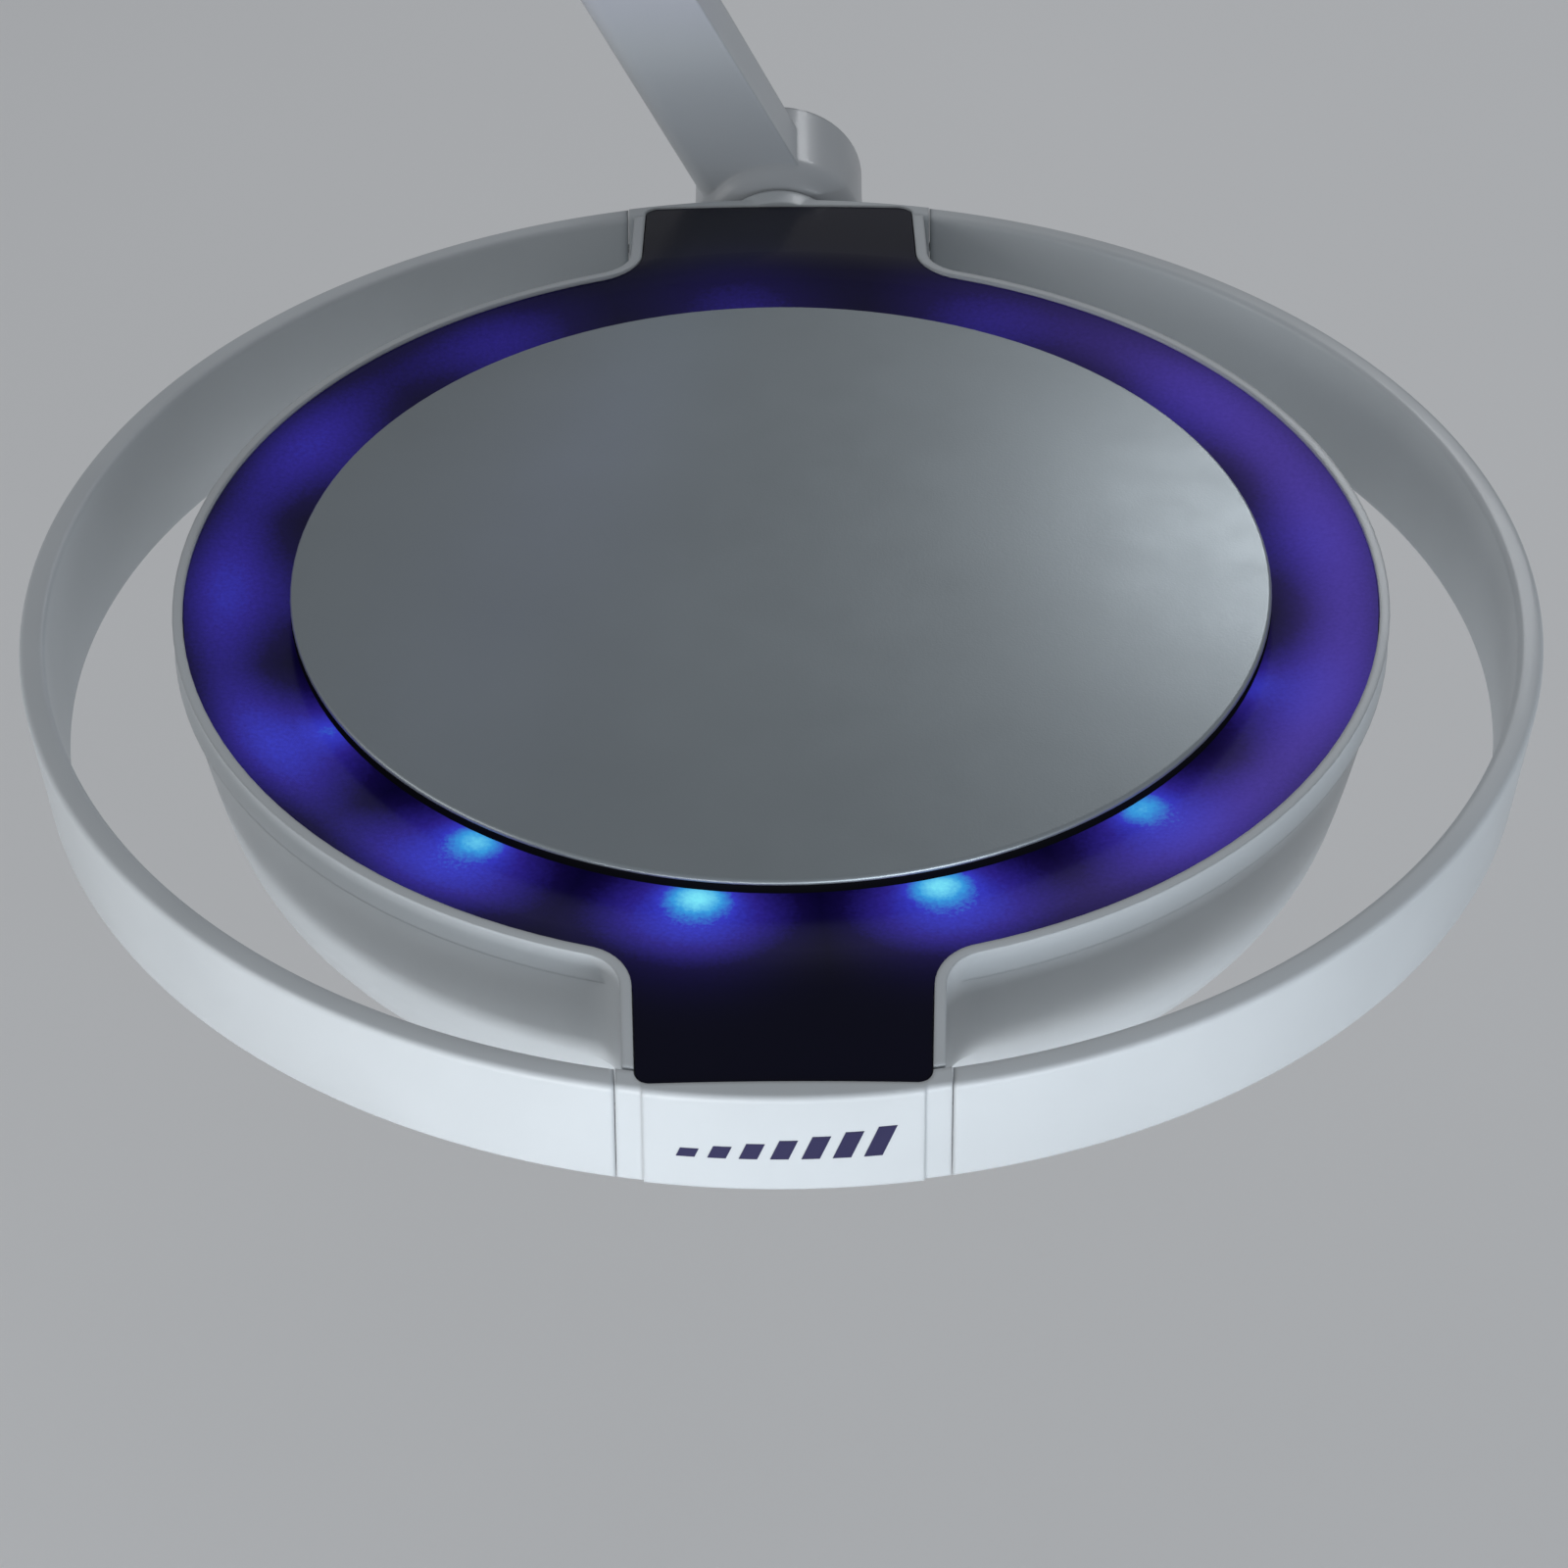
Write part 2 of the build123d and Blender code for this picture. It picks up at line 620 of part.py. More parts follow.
with BuildSketch() as gasket_plan:
    add(window_plan(0))
    add(window_plan(LEDGE), mode=Mode.SUBTRACT)
halo_window = window_layer(0, WINDOW_T, WINDOW_IN, window_plan(0))
save("halo_window", halo_window)
window_gasket = window_layer(WINDOW_T, WINDOW_T + GASKET_T, WINDOW_IN, gasket_plan.sketch)
save("window_gasket", window_gasket)

dome_edge_z = crown(DOME_R)

with BuildPart() as dome_cover:
    with BuildSketch(head_section) as dome_outline:
        with BuildLine():
            ThreePointArc((0, crown(0)), (DOME_R / 2, crown(DOME_R / 2)), (DOME_R, dome_edge_z))
            Polyline((DOME_R, dome_edge_z), (DOME_R, dome_edge_z - DOME_SKIRT),
                     (DOME_R - DOME_SKIRT_T, dome_edge_z - DOME_SKIRT),
                     (DOME_R - DOME_SKIRT_T, crown(DOME_R - DOME_SKIRT_T, DOME_T)))
            ThreePointArc((DOME_R - DOME_SKIRT_T, crown(DOME_R - DOME_SKIRT_T, DOME_T)),
                          (DOME_R / 2, crown(DOME_R / 2, DOME_T)), (0, crown(0, DOME_T)))
            Line((0, crown(0, DOME_T)), (0, crown(0)))
        make_face()
        rim = dome_outline.vertices().group_by(Axis.X)[-1].sort_by(Axis.Y)[-1]
        fillet(rim, DOME_T / 2)
    revolve(axis=head_axis)
    with BuildSketch(head_level(DECK_Z + DECK_T)):
        with PolarLocations(DOME_BOSS_CIRCLE, DOME_BOSSES):
            Circle(DOME_BOSS_R)
    extrude(until=Until.NEXT)
    with BuildSketch(head_level(DECK_Z + DECK_T)):
        with PolarLocations(DOME_BOSS_CIRCLE, DOME_BOSSES):
            Circle(DOME_SCREW_R + SEAT)
    extrude(amount=DOME_SCREW_BITE + SEAM, mode=Mode.SUBTRACT)
save("dome_cover", dome_cover.part)

# ---- deck that carries the halo and closes the bowl under the window ----
STEP_IN = WINDOW_IN + 1.0
window_low = crown(DOME_R) - TROUGH_DEPTH - WINDOW_T
deck_top = DECK_Z + DECK_T
halo_board_z = dome_edge_z - DOME_SKIRT
post_points = polar(DECK_POST_CIRCLE, DECK_POSTS, DECK_POST_START)
dome_points = polar(DOME_BOSS_CIRCLE, DOME_BOSSES)
standoff_points = polar(STANDOFF_CIRCLE, STANDOFFS, STANDOFF_START)

with BuildPart() as halo_deck:
    with BuildSketch(head_level(DECK_Z)):
        Circle(DECK_R)
        Circle(DECK_IN, mode=Mode.SUBTRACT)
        with Locations(*post_points):
            Circle(DECK_SCREW_R + SEAT, mode=Mode.SUBTRACT)
        with Locations(*dome_points):
            Circle(DOME_SCREW_R + SEAT, mode=Mode.SUBTRACT)
        with Locations(*standoff_points):
            Circle(DOME_SCREW_R + SEAT, mode=Mode.SUBTRACT)
    extrude(amount=DECK_T)
    with BuildSketch(head_level(deck_top)):
        Circle(UPSTAND_OUT)
        Circle(UPSTAND_OUT - UPSTAND_T, mode=Mode.SUBTRACT)
    extrude(amount=halo_board_z - deck_top)
    with BuildSketch(head_level(deck_top)):
        Circle(STEP_IN + STEP_T)
        Circle(STEP_IN, mode=Mode.SUBTRACT)
    extrude(amount=window_low - deck_top)
save("halo_deck", halo_deck.part)

with BuildPart() as halo_board:
    with BuildSketch(head_level(halo_board_z)):
        Circle(HALO_RING_OUT)
        Circle(HALO_RING_IN, mode=Mode.SUBTRACT)
    extrude(amount=BOARD_T)
save("halo_board", halo_board.part)

with BuildPart() as halo_leds:
    with BuildSketch(head_level(halo_board_z)):
        with PolarLocations(HALO_RING_OUT - HALO_LED[0] / 2, HALO_LEDS, start_angle=HALO_PHASE):
            Rectangle(HALO_LED[0], HALO_LED[1])
    extrude(amount=-HALO_LED[2])
save("halo_leds", halo_leds.part)

with BuildPart() as deck_posts:
    with BuildSketch(head_level(SINK_TOP)):
        with Locations(*post_points):
            RegularPolygon(POST_R, 6)
    extrude(amount=DECK_Z - SINK_TOP)
    with BuildSketch(head_level(DECK_Z)):
        with Locations(*post_points):
            Circle(DECK_SCREW_R + SEAT)
    extrude(amount=-DECK_SCREW_BITE - SEAM, mode=Mode.SUBTRACT)
save("deck_posts", deck_posts.part)

deck_screw_planes = [head_spot(x, y, deck_top) for x, y in post_points]
deck_screws = cap_screws(deck_screw_planes, DECK_SCREW_HEAD, DECK_SCREW_R, DECK_T + DECK_SCREW_BITE)
save("deck_screws", deck_screws)

dome_screw_planes = [head_spot(x, y, DECK_Z, (0, 0, -1)) for x, y in dome_points]
dome_screws = cap_screws(dome_screw_planes, SMALL_HEAD, DOME_SCREW_R, DECK_T + DOME_SCREW_BITE)
save("dome_screws", dome_screws)

# ---- grip ring: two handles and two band blocks ----
BLOCK_CUT = BLOCK_HALF - SEAM / 2


def dowel_places():
    """Middle of the band's wall at each seam, as points on the head."""
    places = []
    for share in DOWEL_LEVELS:
        z = share * BAND_H
        middle = outer_at(z) - BAND_WALL / 2
        y = sqrt(middle**2 - BLOCK_HALF**2)
        places += [(x, side * y, z) for x in (-BLOCK_HALF, BLOCK_HALF) for side in (-1, 1)]
    return places


def dowels(radius, length):
    """Pins across the four seams of the grip ring."""
    with BuildPart() as pins:
        for x, y, z in dowel_places():
            with BuildSketch(head_spot(x - length / 2, y, z, (1, 0, 0))):
                Circle(radius)
            extrude(amount=length)
    return pins.part


def band_arc(low_x, high_x, proud=0.0):
    """Stretch of the grip band between two seams, drilled for its dowels."""
    with BuildPart() as band:
        with BuildSketch(head_section):
            add(ring_section(proud))
        revolve(axis=head_axis)
        with BuildSketch(head_level(-2 * BAND_H)):
            with Locations((low_x, 0)):
                Rectangle(high_x - low_x, 3 * RING_R, align=(Align.MIN, Align.CENTER))
        extrude(amount=4 * BAND_H, mode=Mode.INTERSECT)
        add(dowels(DOWEL_R + SEAT, DOWEL_L + SEAM), mode=Mode.SUBTRACT)
    return band.part


handle_right = band_arc(BLOCK_HALF + SEAM / 2, 2 * RING_R)
save("handle_right", handle_right)
handle_left = band_arc(-2 * RING_R, -BLOCK_HALF - SEAM / 2)
save("handle_left", handle_left)
handle_dowels = dowels(DOWEL_R, DOWEL_L)
save("handle_dowels", handle_dowels)


with BuildPart() as front_band:
    add(band_arc(-BLOCK_CUT, BLOCK_CUT))
    add(band_arc(-BADGE_HALF, BADGE_HALF, BADGE_PROUD))
    with BuildSketch(head_level(-2 * BAND_H)):
        Rectangle(3 * RING_R, 3 * RING_R, align=(Align.CENTER, Align.MAX))
    extrude(amount=4 * BAND_H, mode=Mode.INTERSECT)
    add(window_pocket(), mode=Mode.SUBTRACT)
    for plane in band_screw_planes(-1):
        with BuildSketch(plane):
            Circle(BAND_SCREW_R + SEAT)
        extrude(amount=-BAND_SCREW_L - SEAM, mode=Mode.SUBTRACT)
save("front_band", front_band.part)

BOSS_Y = RING_R + KNUCKLE_GAP - DISC_T - 2 * RUNNING

with BuildPart() as rear_band:
    add(band_arc(-BLOCK_CUT, BLOCK_CUT))
    with BuildSketch(head_level(-2 * BAND_H)):
        Rectangle(3 * RING_R, 3 * RING_R, align=(Align.CENTER, Align.MIN))
    extrude(amount=4 * BAND_H, mode=Mode.INTERSECT)
    with BuildSketch(across(KNUCKLE, BOSS_Y - RING_TO_ARM)):
        Circle(BOSS_R)
    extrude(amount=-(BOSS_Y - BAND_MID_R - BAND_WALL / 2))
    add(window_pocket(), mode=Mode.SUBTRACT)
    with BuildSketch(across(KNUCKLE, BOSS_Y - RING_TO_ARM)):
        Circle(SHAFT_R + BORE_CLEAR)
    extrude(amount=-BAND_H, mode=Mode.SUBTRACT)
    for plane in band_screw_planes(1):
        with BuildSketch(plane):
            Circle(BAND_SCREW_R + SEAT)
        extrude(amount=-BAND_SCREW_L - SEAM, mode=Mode.SUBTRACT)
save("rear_band", rear_band.part)

all_band_planes = band_screw_planes(-1) + band_screw_planes(1)
band_screws = cap_screws(all_band_planes, BAND_SCREW_HEAD, BAND_SCREW_R, BAND_SCREW_L)
save("band_screws", band_screws)

# ---- touch board under the front neck panel ----

with BuildPart() as touch_board:
    with BuildSketch(head_level(TOUCH_TOP - BOARD_T)):
        with Locations((0, TOUCH_Y)):
            RectangleRounded(TOUCH_SIZE[0], TOUCH_SIZE[1], TOUCH_CORNER)
    extrude(amount=BOARD_T)
    with BuildSketch(head_level(TOUCH_TOP)):
        with Locations((0, TOUCH_Y)):
            with GridLocations(TOUCH_POST_X - TOUCH_POST_R, 1, TOUCH_PADS, 1):
                Circle(TOUCH_PAD_R)
    extrude(amount=BOARD_T / 4)
save("touch_board", touch_board.part)

# ================= head: light engine =================

with BuildPart() as glass_gasket:
    with BuildSketch(head_level(BASE_Z + GLASS_T)):
        Circle(GLASS_R)
        Circle(FLANGE_IN, mode=Mode.SUBTRACT)
    extrude(amount=GASKET_T)
save("glass_gasket", glass_gasket.part)

with BuildPart() as front_glass:
    with BuildSketch(head_level(BASE_Z)):
        Circle(GLASS_R)
    extrude(amount=GLASS_T)
save("front_glass", front_glass.part)

with BuildPart() as front_bezel:
    with BuildSketch(head_level(BASE_Z - BEZEL_T)):
        Circle(BEZEL_R)
        Circle(BEZEL_IN, mode=Mode.SUBTRACT)
    extrude(amount=BEZEL_T)
    chamfer(front_bezel.faces().sort_by(Axis.Z)[0].edges(), BEZEL_CHAMFER)
    with BuildSketch(head_level(BASE_Z)):
        with Locations(*bezel_points):
            Circle(BEZEL_SCREW_R + SEAT)
    extrude(amount=-BEZEL_T, mode=Mode.SUBTRACT)
    with BuildSketch(head_level(BASE_Z - BEZEL_T)):
        with Locations(*bezel_points):
            Circle(BEZEL_SCREW_HEAD[0] + SEAT)
    extrude(amount=BEZEL_SCREW_HEAD[1], mode=Mode.SUBTRACT)
save("front_bezel", front_bezel.part)

bezel_seat_z = BASE_Z - BEZEL_T + BEZEL_SCREW_HEAD[1]
bezel_planes = [head_spot(x, y, bezel_seat_z, (0, 0, -1)) for x, y in bezel_points]
bezel_screws = cap_screws(bezel_planes, BEZEL_SCREW_HEAD, BEZEL_SCREW_R, BEZEL_SCREW_L)
save("bezel_screws", bezel_screws)

sink_low = SINK_TOP - SINK_T
sink_points = polar(POST_CIRCLE, POST_COUNT)
BRACKET_IN = DECK_R + 1.0
BRACKET_LOW = NECK_BOTTOM + NECK_FLOOR + SEAM
BRACKET_TOP = 2 * ROLL_Z - BRACKET_LOW
TONGUE_T = BRACKET_LOW + SINK_T - SINK_TOP
bracket_points = [(x, y) for x in (-BRACKET_SCREW_X, BRACKET_SCREW_X) for y in BRACKET_SCREW_Y]

with BuildPart() as heat_sink:
    with BuildSketch(head_level(sink_low)):
        Circle(SINK_R)
        with Locations(*sink_points):
            Circle(SINK_SCREW_R + SEAT, mode=Mode.SUBTRACT)
        with Locations(*bracket_points):
            Circle(BRACKET_SCREW_R + SEAT, mode=Mode.SUBTRACT)
    extrude(amount=SINK_T)
    fin_count = int(2 * FIN_R / FIN_PITCH)
    with BuildSketch(head_level(SINK_TOP)) as fins:
        with GridLocations(FIN_PITCH, 1, fin_count, 1):
            Rectangle(FIN_T, 2 * FIN_R)
        Circle(FIN_R, mode=Mode.INTERSECT)
        with Locations((0, TONGUE_IN - FIN_T)):
            Rectangle(2 * TONGUE_HALF + FIN_T, FIN_R, align=(Align.CENTER, Align.MIN), mode=Mode.SUBTRACT)
    extrude(amount=FIN_TOP - SINK_TOP)
save("heat_sink", heat_sink.part)

with BuildPart() as sink_posts:
    with BuildSketch(head_level(FLANGE_TOP)):
        with Locations(*sink_points):
            Circle(POST_R)
        with Locations(*sink_points):
            Circle(SINK_SCREW_R + SEAT, mode=Mode.SUBTRACT)
    extrude(amount=sink_low - FLANGE_TOP)
save("sink_posts", sink_posts.part)

sink_planes = [head_spot(x, y, SINK_TOP) for x, y in sink_points]
sink_screws = cap_screws(sink_planes, SINK_SCREW_HEAD, SINK_SCREW_R, SINK_SCREW_L + SINK_T)
save("sink_screws", sink_screws)

board_low = sink_low - BOARD_T
led_low = board_low - LED_H
lens_low = led_low - LENS_GAP - LENS_H
led_spots = [point for radius, count in LENS_RINGS for point in polar(radius, count)]

with BuildPart() as main_led_board:
    with BuildSketch(head_level(board_low)):
        Circle(LED_BOARD_R)
        with Locations(*bracket_points):
            Circle(BRACKET_SCREW_R + BORE_CLEAR, mode=Mode.SUBTRACT)
    extrude(amount=BOARD_T)
save("main_led_board", main_led_board.part)

with BuildPart() as led_emitters:
    with BuildSketch(head_level(led_low)):
        with Locations(*led_spots):
            Rectangle(LED_SIDE, LED_SIDE)
    extrude(amount=LED_H)
save("led_emitters", led_emitters.part)

LENS_TAPER = degrees(atan2(LENS_R - LENS_FLANGE - LENS_NECK_R, LENS_H - LENS_FLANGE))

with BuildPart() as collimator_lenses:
    with BuildSketch(head_level(lens_low + LENS_H)):
        with Locations(*led_spots):
            Circle(LENS_NECK_R)
    extrude(amount=LENS_FLANGE - LENS_H, taper=-LENS_TAPER)
    with BuildSketch(head_level(lens_low)):
        with Locations(*led_spots):
            Circle(LENS_R)
    extrude(amount=LENS_FLANGE)
save("collimator_lenses", collimator_lenses.part)

with BuildPart() as lens_holder:
    with BuildSketch(head_level(lens_low + LENS_FLANGE)):
        Circle(LED_BOARD_R)
        with Locations(*led_spots):
            Circle(LENS_R - LENS_FLANGE + SEAM, mode=Mode.SUBTRACT)
    extrude(amount=HOLDER_T)
    with BuildSketch(head_level(lens_low + LENS_FLANGE + HOLDER_T)):
        Circle(LED_BOARD_R)
        Circle(LED_BOARD_R - HOLDER_T, mode=Mode.SUBTRACT)
    extrude(amount=board_low - lens_low - LENS_FLANGE - HOLDER_T)
save("lens_holder", lens_holder.part)

# ---- driver electronics hang under the deck ----
driver_top = DECK_Z - DRIVER_STANDOFF
driver_low = driver_top - BOARD_T

with BuildPart() as board_standoffs:
    with BuildSketch(head_level(driver_top)):
        with Locations(*standoff_points):
            RegularPolygon(STANDOFF_R, 6)
        with Locations(*standoff_points):
            Circle(DOME_SCREW_R + SEAT, mode=Mode.SUBTRACT)
    extrude(amount=DRIVER_STANDOFF)
save("board_standoffs", board_standoffs.part)

with BuildPart() as driver_board:
    with BuildSketch(head_level(driver_low)):
        Circle(DRIVER_R)
        with Locations(*standoff_points):
            Circle(DOME_SCREW_R + SEAT, mode=Mode.SUBTRACT)
    extrude(amount=BOARD_T)
save("driver_board", driver_board.part)

driver_screw_planes = [head_spot(x, y, deck_top) for x, y in standoff_points]
DRIVER_SCREW_L = DECK_T + DRIVER_STANDOFF + BOARD_T + DRIVER_SCREW_END
driver_screws = cap_screws(driver_screw_planes, SMALL_HEAD, DOME_SCREW_R, DRIVER_SCREW_L)
save("driver_screws", driver_screws)

with BuildPart() as driver_components:
    with BuildSketch(head_level(driver_top)):
        with Locations(*CAPACITORS):
            Circle(CAPACITOR_R)
    extrude(amount=CAPACITOR_H)
    with BuildSketch(head_level(driver_top)):
        with Locations(COIL_AT):
            Rectangle(COIL_SIZE[0], COIL_SIZE[1])
    extrude(amount=COIL_SIZE[2])
    with BuildSketch(head_level(driver_top)):
        with Locations(CHIP_AT):
            Rectangle(CHIP_SIZE[0], CHIP_SIZE[1])
        with Locations(SMALL_CHIPS_AT):
            with GridLocations(*SMALL_CHIP_PITCH, *SMALL_CHIP_GRID):
                Rectangle(*SMALL_CHIP_SIZE)
    extrude(amount=CHIP_SIZE[2])
save("driver_components", driver_components.part)

# ================= head: neck bracket and roll shaft =================

BRACKET_END = NECK_CAVITY_Y - 2 * SEAM
SHAFT_IN_Y = BRACKET_IN + SHAFT_SET_IN
grub_points = [(0, BRACKET_END - back) for back in GRUB_BACK]

with BuildPart() as neck_bracket:
    with BuildSketch(head_level(BRACKET_LOW)):
        with Locations((0, BRACKET_IN)):
            Rectangle(2 * BRACKET_HALF, BRACKET_END - BRACKET_IN, align=(Align.CENTER, Align.MIN))
    extrude(amount=BRACKET_TOP - BRACKET_LOW)
    with BuildSketch(head_level(SINK_TOP)):
        with Locations((0, TONGUE_IN)):
            Rectangle(2 * TONGUE_HALF, SINK_R - TONGUE_IN, align=(Align.CENTER, Align.MIN))
    extrude(amount=TONGUE_T)
    with BuildSketch(head_level(BRACKET_LOW)):
        with Locations((0, TONGUE_IN)):
            Rectangle(2 * TONGUE_HALF, BRACKET_IN - TONGUE_IN + 1, align=(Align.CENTER, Align.MIN))
    extrude(amount=SINK_TOP + TONGUE_T - BRACKET_LOW)
    with BuildSketch(across(KNUCKLE, BRACKET_END - RING_TO_ARM)):
        Circle(SHAFT_R + SEAT)
    extrude(amount=SHAFT_IN_Y - BRACKET_END, mode=Mode.SUBTRACT)
    for x in (-BAND_SCREW_X, BAND_SCREW_X):
        with BuildSketch(head_spot(x, BRACKET_END, ROLL_Z, (0, 1, 0))):
            Circle(GRUB_R * 2)
        extrude(amount=-BAND_SCREW_BITE, mode=Mode.SUBTRACT)
    with BuildSketch(head_level(SINK_TOP)):
        with Locations(*bracket_points):
            Circle(BRACKET_SCREW_R + SEAT)
    extrude(amount=TONGUE_T, mode=Mode.SUBTRACT)
    with BuildSketch(head_level(BRACKET_TOP)):
        with Locations(*grub_points):
            Circle(GRUB_R + SEAT)
    extrude(amount=ROLL_Z - BRACKET_TOP, mode=Mode.SUBTRACT)
save("neck_bracket", neck_bracket.part)

bracket_planes = [head_spot(x, y, SINK_TOP + TONGUE_T) for x, y in bracket_points]
bracket_screws = cap_screws(bracket_planes, BRACKET_SCREW_HEAD, BRACKET_SCREW_R, TONGUE_T + SINK_T - SEAM)
save("bracket_screws", bracket_screws)

with BuildPart() as grub_screws:
    with BuildSketch(head_level(BRACKET_TOP)):
        with Locations(*grub_points):
            Circle(GRUB_R)
        with Locations(*grub_points):
            RegularPolygon(GRUB_R / 2, 6, mode=Mode.SUBTRACT)
    extrude(amount=ROLL_Z + SHAFT_R + SEAT * 2 - BRACKET_TOP)
save("grub_screws", grub_screws.part)
# the knuckle's inside, from its front face backwards along the roll axis
KNUCKLE_BUSH_OUT = SHAFT_R + RUNNING + BUSH_WALL
BUSH_FLANGE_R = KNUCKLE_BUSH_OUT + BUSH_LIP
REAR_WALL_Y = KNUCKLE_FRONT + BUSH_FLANGE_T + REAR_WALL
knuckle_back = KNUCKLE_FRONT + KNUCKLE_L
spring_start = REAR_WALL_Y + BUSH_FLANGE_T + RUNNING
nut_start = spring_start + SPRING_COUNT * SPRING_T + RUNNING
shaft_start = SHAFT_IN_Y - RING_TO_ARM
shaft_end = nut_start + NUT_T

with BuildPart() as roll_shaft:
    with BuildSketch(roll_section):
        with BuildLine():
            Polyline((shaft_start, SHAFT_BORE), (shaft_start, SHAFT_R - SHAFT_CHAMFER),
                     (shaft_start + SHAFT_CHAMFER, SHAFT_R), (spring_start - SEAM, SHAFT_R),
                     (spring_start - SEAM, NUT_THREAD_R), (shaft_end - SHAFT_CHAMFER, NUT_THREAD_R),
                     (shaft_end, NUT_THREAD_R - SHAFT_CHAMFER), (shaft_end, SHAFT_BORE), close=True)
        make_face()
    revolve(axis=roll_axis)
    with BuildSketch(head_level(ROLL_Z + SHAFT_R)):
        with Locations(*grub_points):
            Circle(GRUB_R + GRUB_SPOT)
    extrude(amount=-SEAT * 4, mode=Mode.SUBTRACT)
save("roll_shaft", roll_shaft.part)


def washer(plane, inner, outer, thickness):
    """Flat ring standing on a plane."""
    with BuildPart() as ring:
        with BuildSketch(plane):
            Circle(outer)
            Circle(inner, mode=Mode.SUBTRACT)
        extrude(amount=thickness)
    return ring.part


def hex_nut(plane, inner, across_corners, thickness):
    """Plain hexagon nut standing on a plane."""
    with BuildPart() as nut:
        with BuildSketch(plane):
            RegularPolygon(across_corners, 6)
            Circle(inner, mode=Mode.SUBTRACT)
        extrude(amount=thickness)
        flats = [e for e in nut.edges().filter_by(GeomType.LINE) if abs(e.length - across_corners) < SEAM]
        chamfer(flats, NUT_EDGE)
    return nut.part


boss_face = across(KNUCKLE, BOSS_Y - RING_TO_ARM)
thrust_washer = washer(boss_face, SHAFT_R + RUNNING, BOSS_R - BOSS_INSET, DISC_T)
save("thrust_washer", thrust_washer)

with BuildPart() as disc_springs:
    for index in range(SPRING_COUNT):
        with BuildSketch(across(KNUCKLE, spring_start + index * SPRING_T)):
            Circle(SPRING_R)
            Circle(NUT_THREAD_R + SEAT, mode=Mode.SUBTRACT)
        extrude(amount=SPRING_T - SEAT)
save("disc_springs", disc_springs.part)

shaft_nut = hex_nut(across(KNUCKLE, nut_start), NUT_THREAD_R + SEAT, NUT_R, NUT_T)
save("shaft_nut", shaft_nut)

# ================= arm =================


def bar_outline(depth):
    """Cross section of the arm's bar; its front face is the same for every depth."""
    with BuildSketch() as outline:
        with Locations((0, -ARM_HALF)):
            Rectangle(ARM_W, depth, align=(Align.CENTER, Align.MIN))
        soft = outline.vertices().group_by(Axis.X)[0]
        crisp = outline.vertices().group_by(Axis.X)[-1]
        fillet(soft, ARM_SOFT_EDGE)
        fillet(crisp, ARM_CRISP_EDGE)
    return outline.sketch


def bar_tube(start, end):
    """The arm's bar between two lengths, solid."""
    with BuildPart() as bar:
        with BuildSketch(arm_section(start)):
            add(bar_outline(ARM_ROOT_DEPTH))
        with BuildSketch(arm_section(ARM_FLARE)):
            add(bar_outline(ARM_DEPTH))
        loft(ruled=True)
        with BuildSketch(arm_section(ARM_FLARE)):
            add(bar_outline(ARM_DEPTH))
        extrude(amount=end - ARM_FLARE)
    return bar.part


COVER_START = ARM_FLARE + COVER_AFTER_FLARE
cover_lengths = (COVER_START + COVER_SCREW_IN, ARM_L - COVER_END - COVER_SCREW_IN)


def cover_spot(length, y):
    """Plane on the arm's rear, facing back, so far up the arm."""
    place = arm_section(length).origin
    return Plane(origin=place + Vector(0, y, 0), x_dir=(cos(radians(ARM_LEAN)), 0, sin(radians(ARM_LEAN))),
                 z_dir=(0, 1, 0))


with BuildPart() as arm_casting:
    with BuildSketch(roll_section) as knuckle_outline:
        with Locations((KNUCKLE_FRONT, 0)):
            Rectangle(KNUCKLE_L, KNUCKLE_R, align=(Align.MIN, Align.MIN))
        far_edge = knuckle_outline.vertices().group_by(Axis.Z)[-1].sort_by(Axis.Y)
        fillet(far_edge[0], KNUCKLE_FRONT_ROUND)
        fillet(knuckle_outline.vertices().group_by(Axis.Y)[-1].sort_by(Axis.Z)[-1], KNUCKLE_BACK_ROUND)
    revolve(axis=roll_axis)
    add(bar_tube(ARM_INTO_KNUCKLE, ARM_L - ARM_INTO_BARREL))
    with BuildSketch(across(TILT, -TILT_BARREL_W / 2)):
        Circle(TILT_BARREL_R)
    extrude(amount=TILT_BARREL_W)
    # the bar is hollow and open at the back, with bosses for the cover's screws
    with BuildSketch(cover_spot((COVER_START + ARM_L - COVER_END) / 2, ARM_HALF)):
        Rectangle(ARM_W - 2 * ARM_WALL, ARM_L - COVER_START - COVER_END)
    extrude(amount=ARM_WALL - ARM_DEPTH, mode=Mode.SUBTRACT)
    for length in cover_lengths:
        with BuildSketch(cover_spot(length, -ARM_HALF + ARM_WALL)):
            Circle(COVER_BOSS)
        extrude(amount=ARM_DEPTH - ARM_WALL - COVER_T)
        with BuildSketch(cover_spot(length, ARM_HALF - COVER_T)):
            Circle(COVER_SCREW_R + SEAT)
        extrude(amount=-COVER_SCREW_L, mode=Mode.SUBTRACT)
    # knuckle bore, rear pocket and bush seats
    with BuildSketch(across(KNUCKLE, KNUCKLE_FRONT)):
        Circle(KNUCKLE_BUSH_OUT + SEAT)
    extrude(amount=KNUCKLE_L, mode=Mode.SUBTRACT)
    with BuildSketch(across(KNUCKLE, REAR_WALL_Y)):
        Circle(POCKET_R)
    extrude(amount=KNUCKLE_L, mode=Mode.SUBTRACT)
    with BuildSketch(across(KNUCKLE, KNUCKLE_FRONT)):
        Circle(BUSH_FLANGE_R + SEAT)
    extrude(amount=BUSH_FLANGE_T, mode=Mode.SUBTRACT)
    # tilt bore
    with BuildSketch(across(TILT, -TILT_BARREL_W / 2)):
        Circle(HINGE_R + RUNNING + BUSH_WALL + SEAT)
    extrude(amount=TILT_BARREL_W, mode=Mode.SUBTRACT)
save("arm_casting", arm_casting.part)

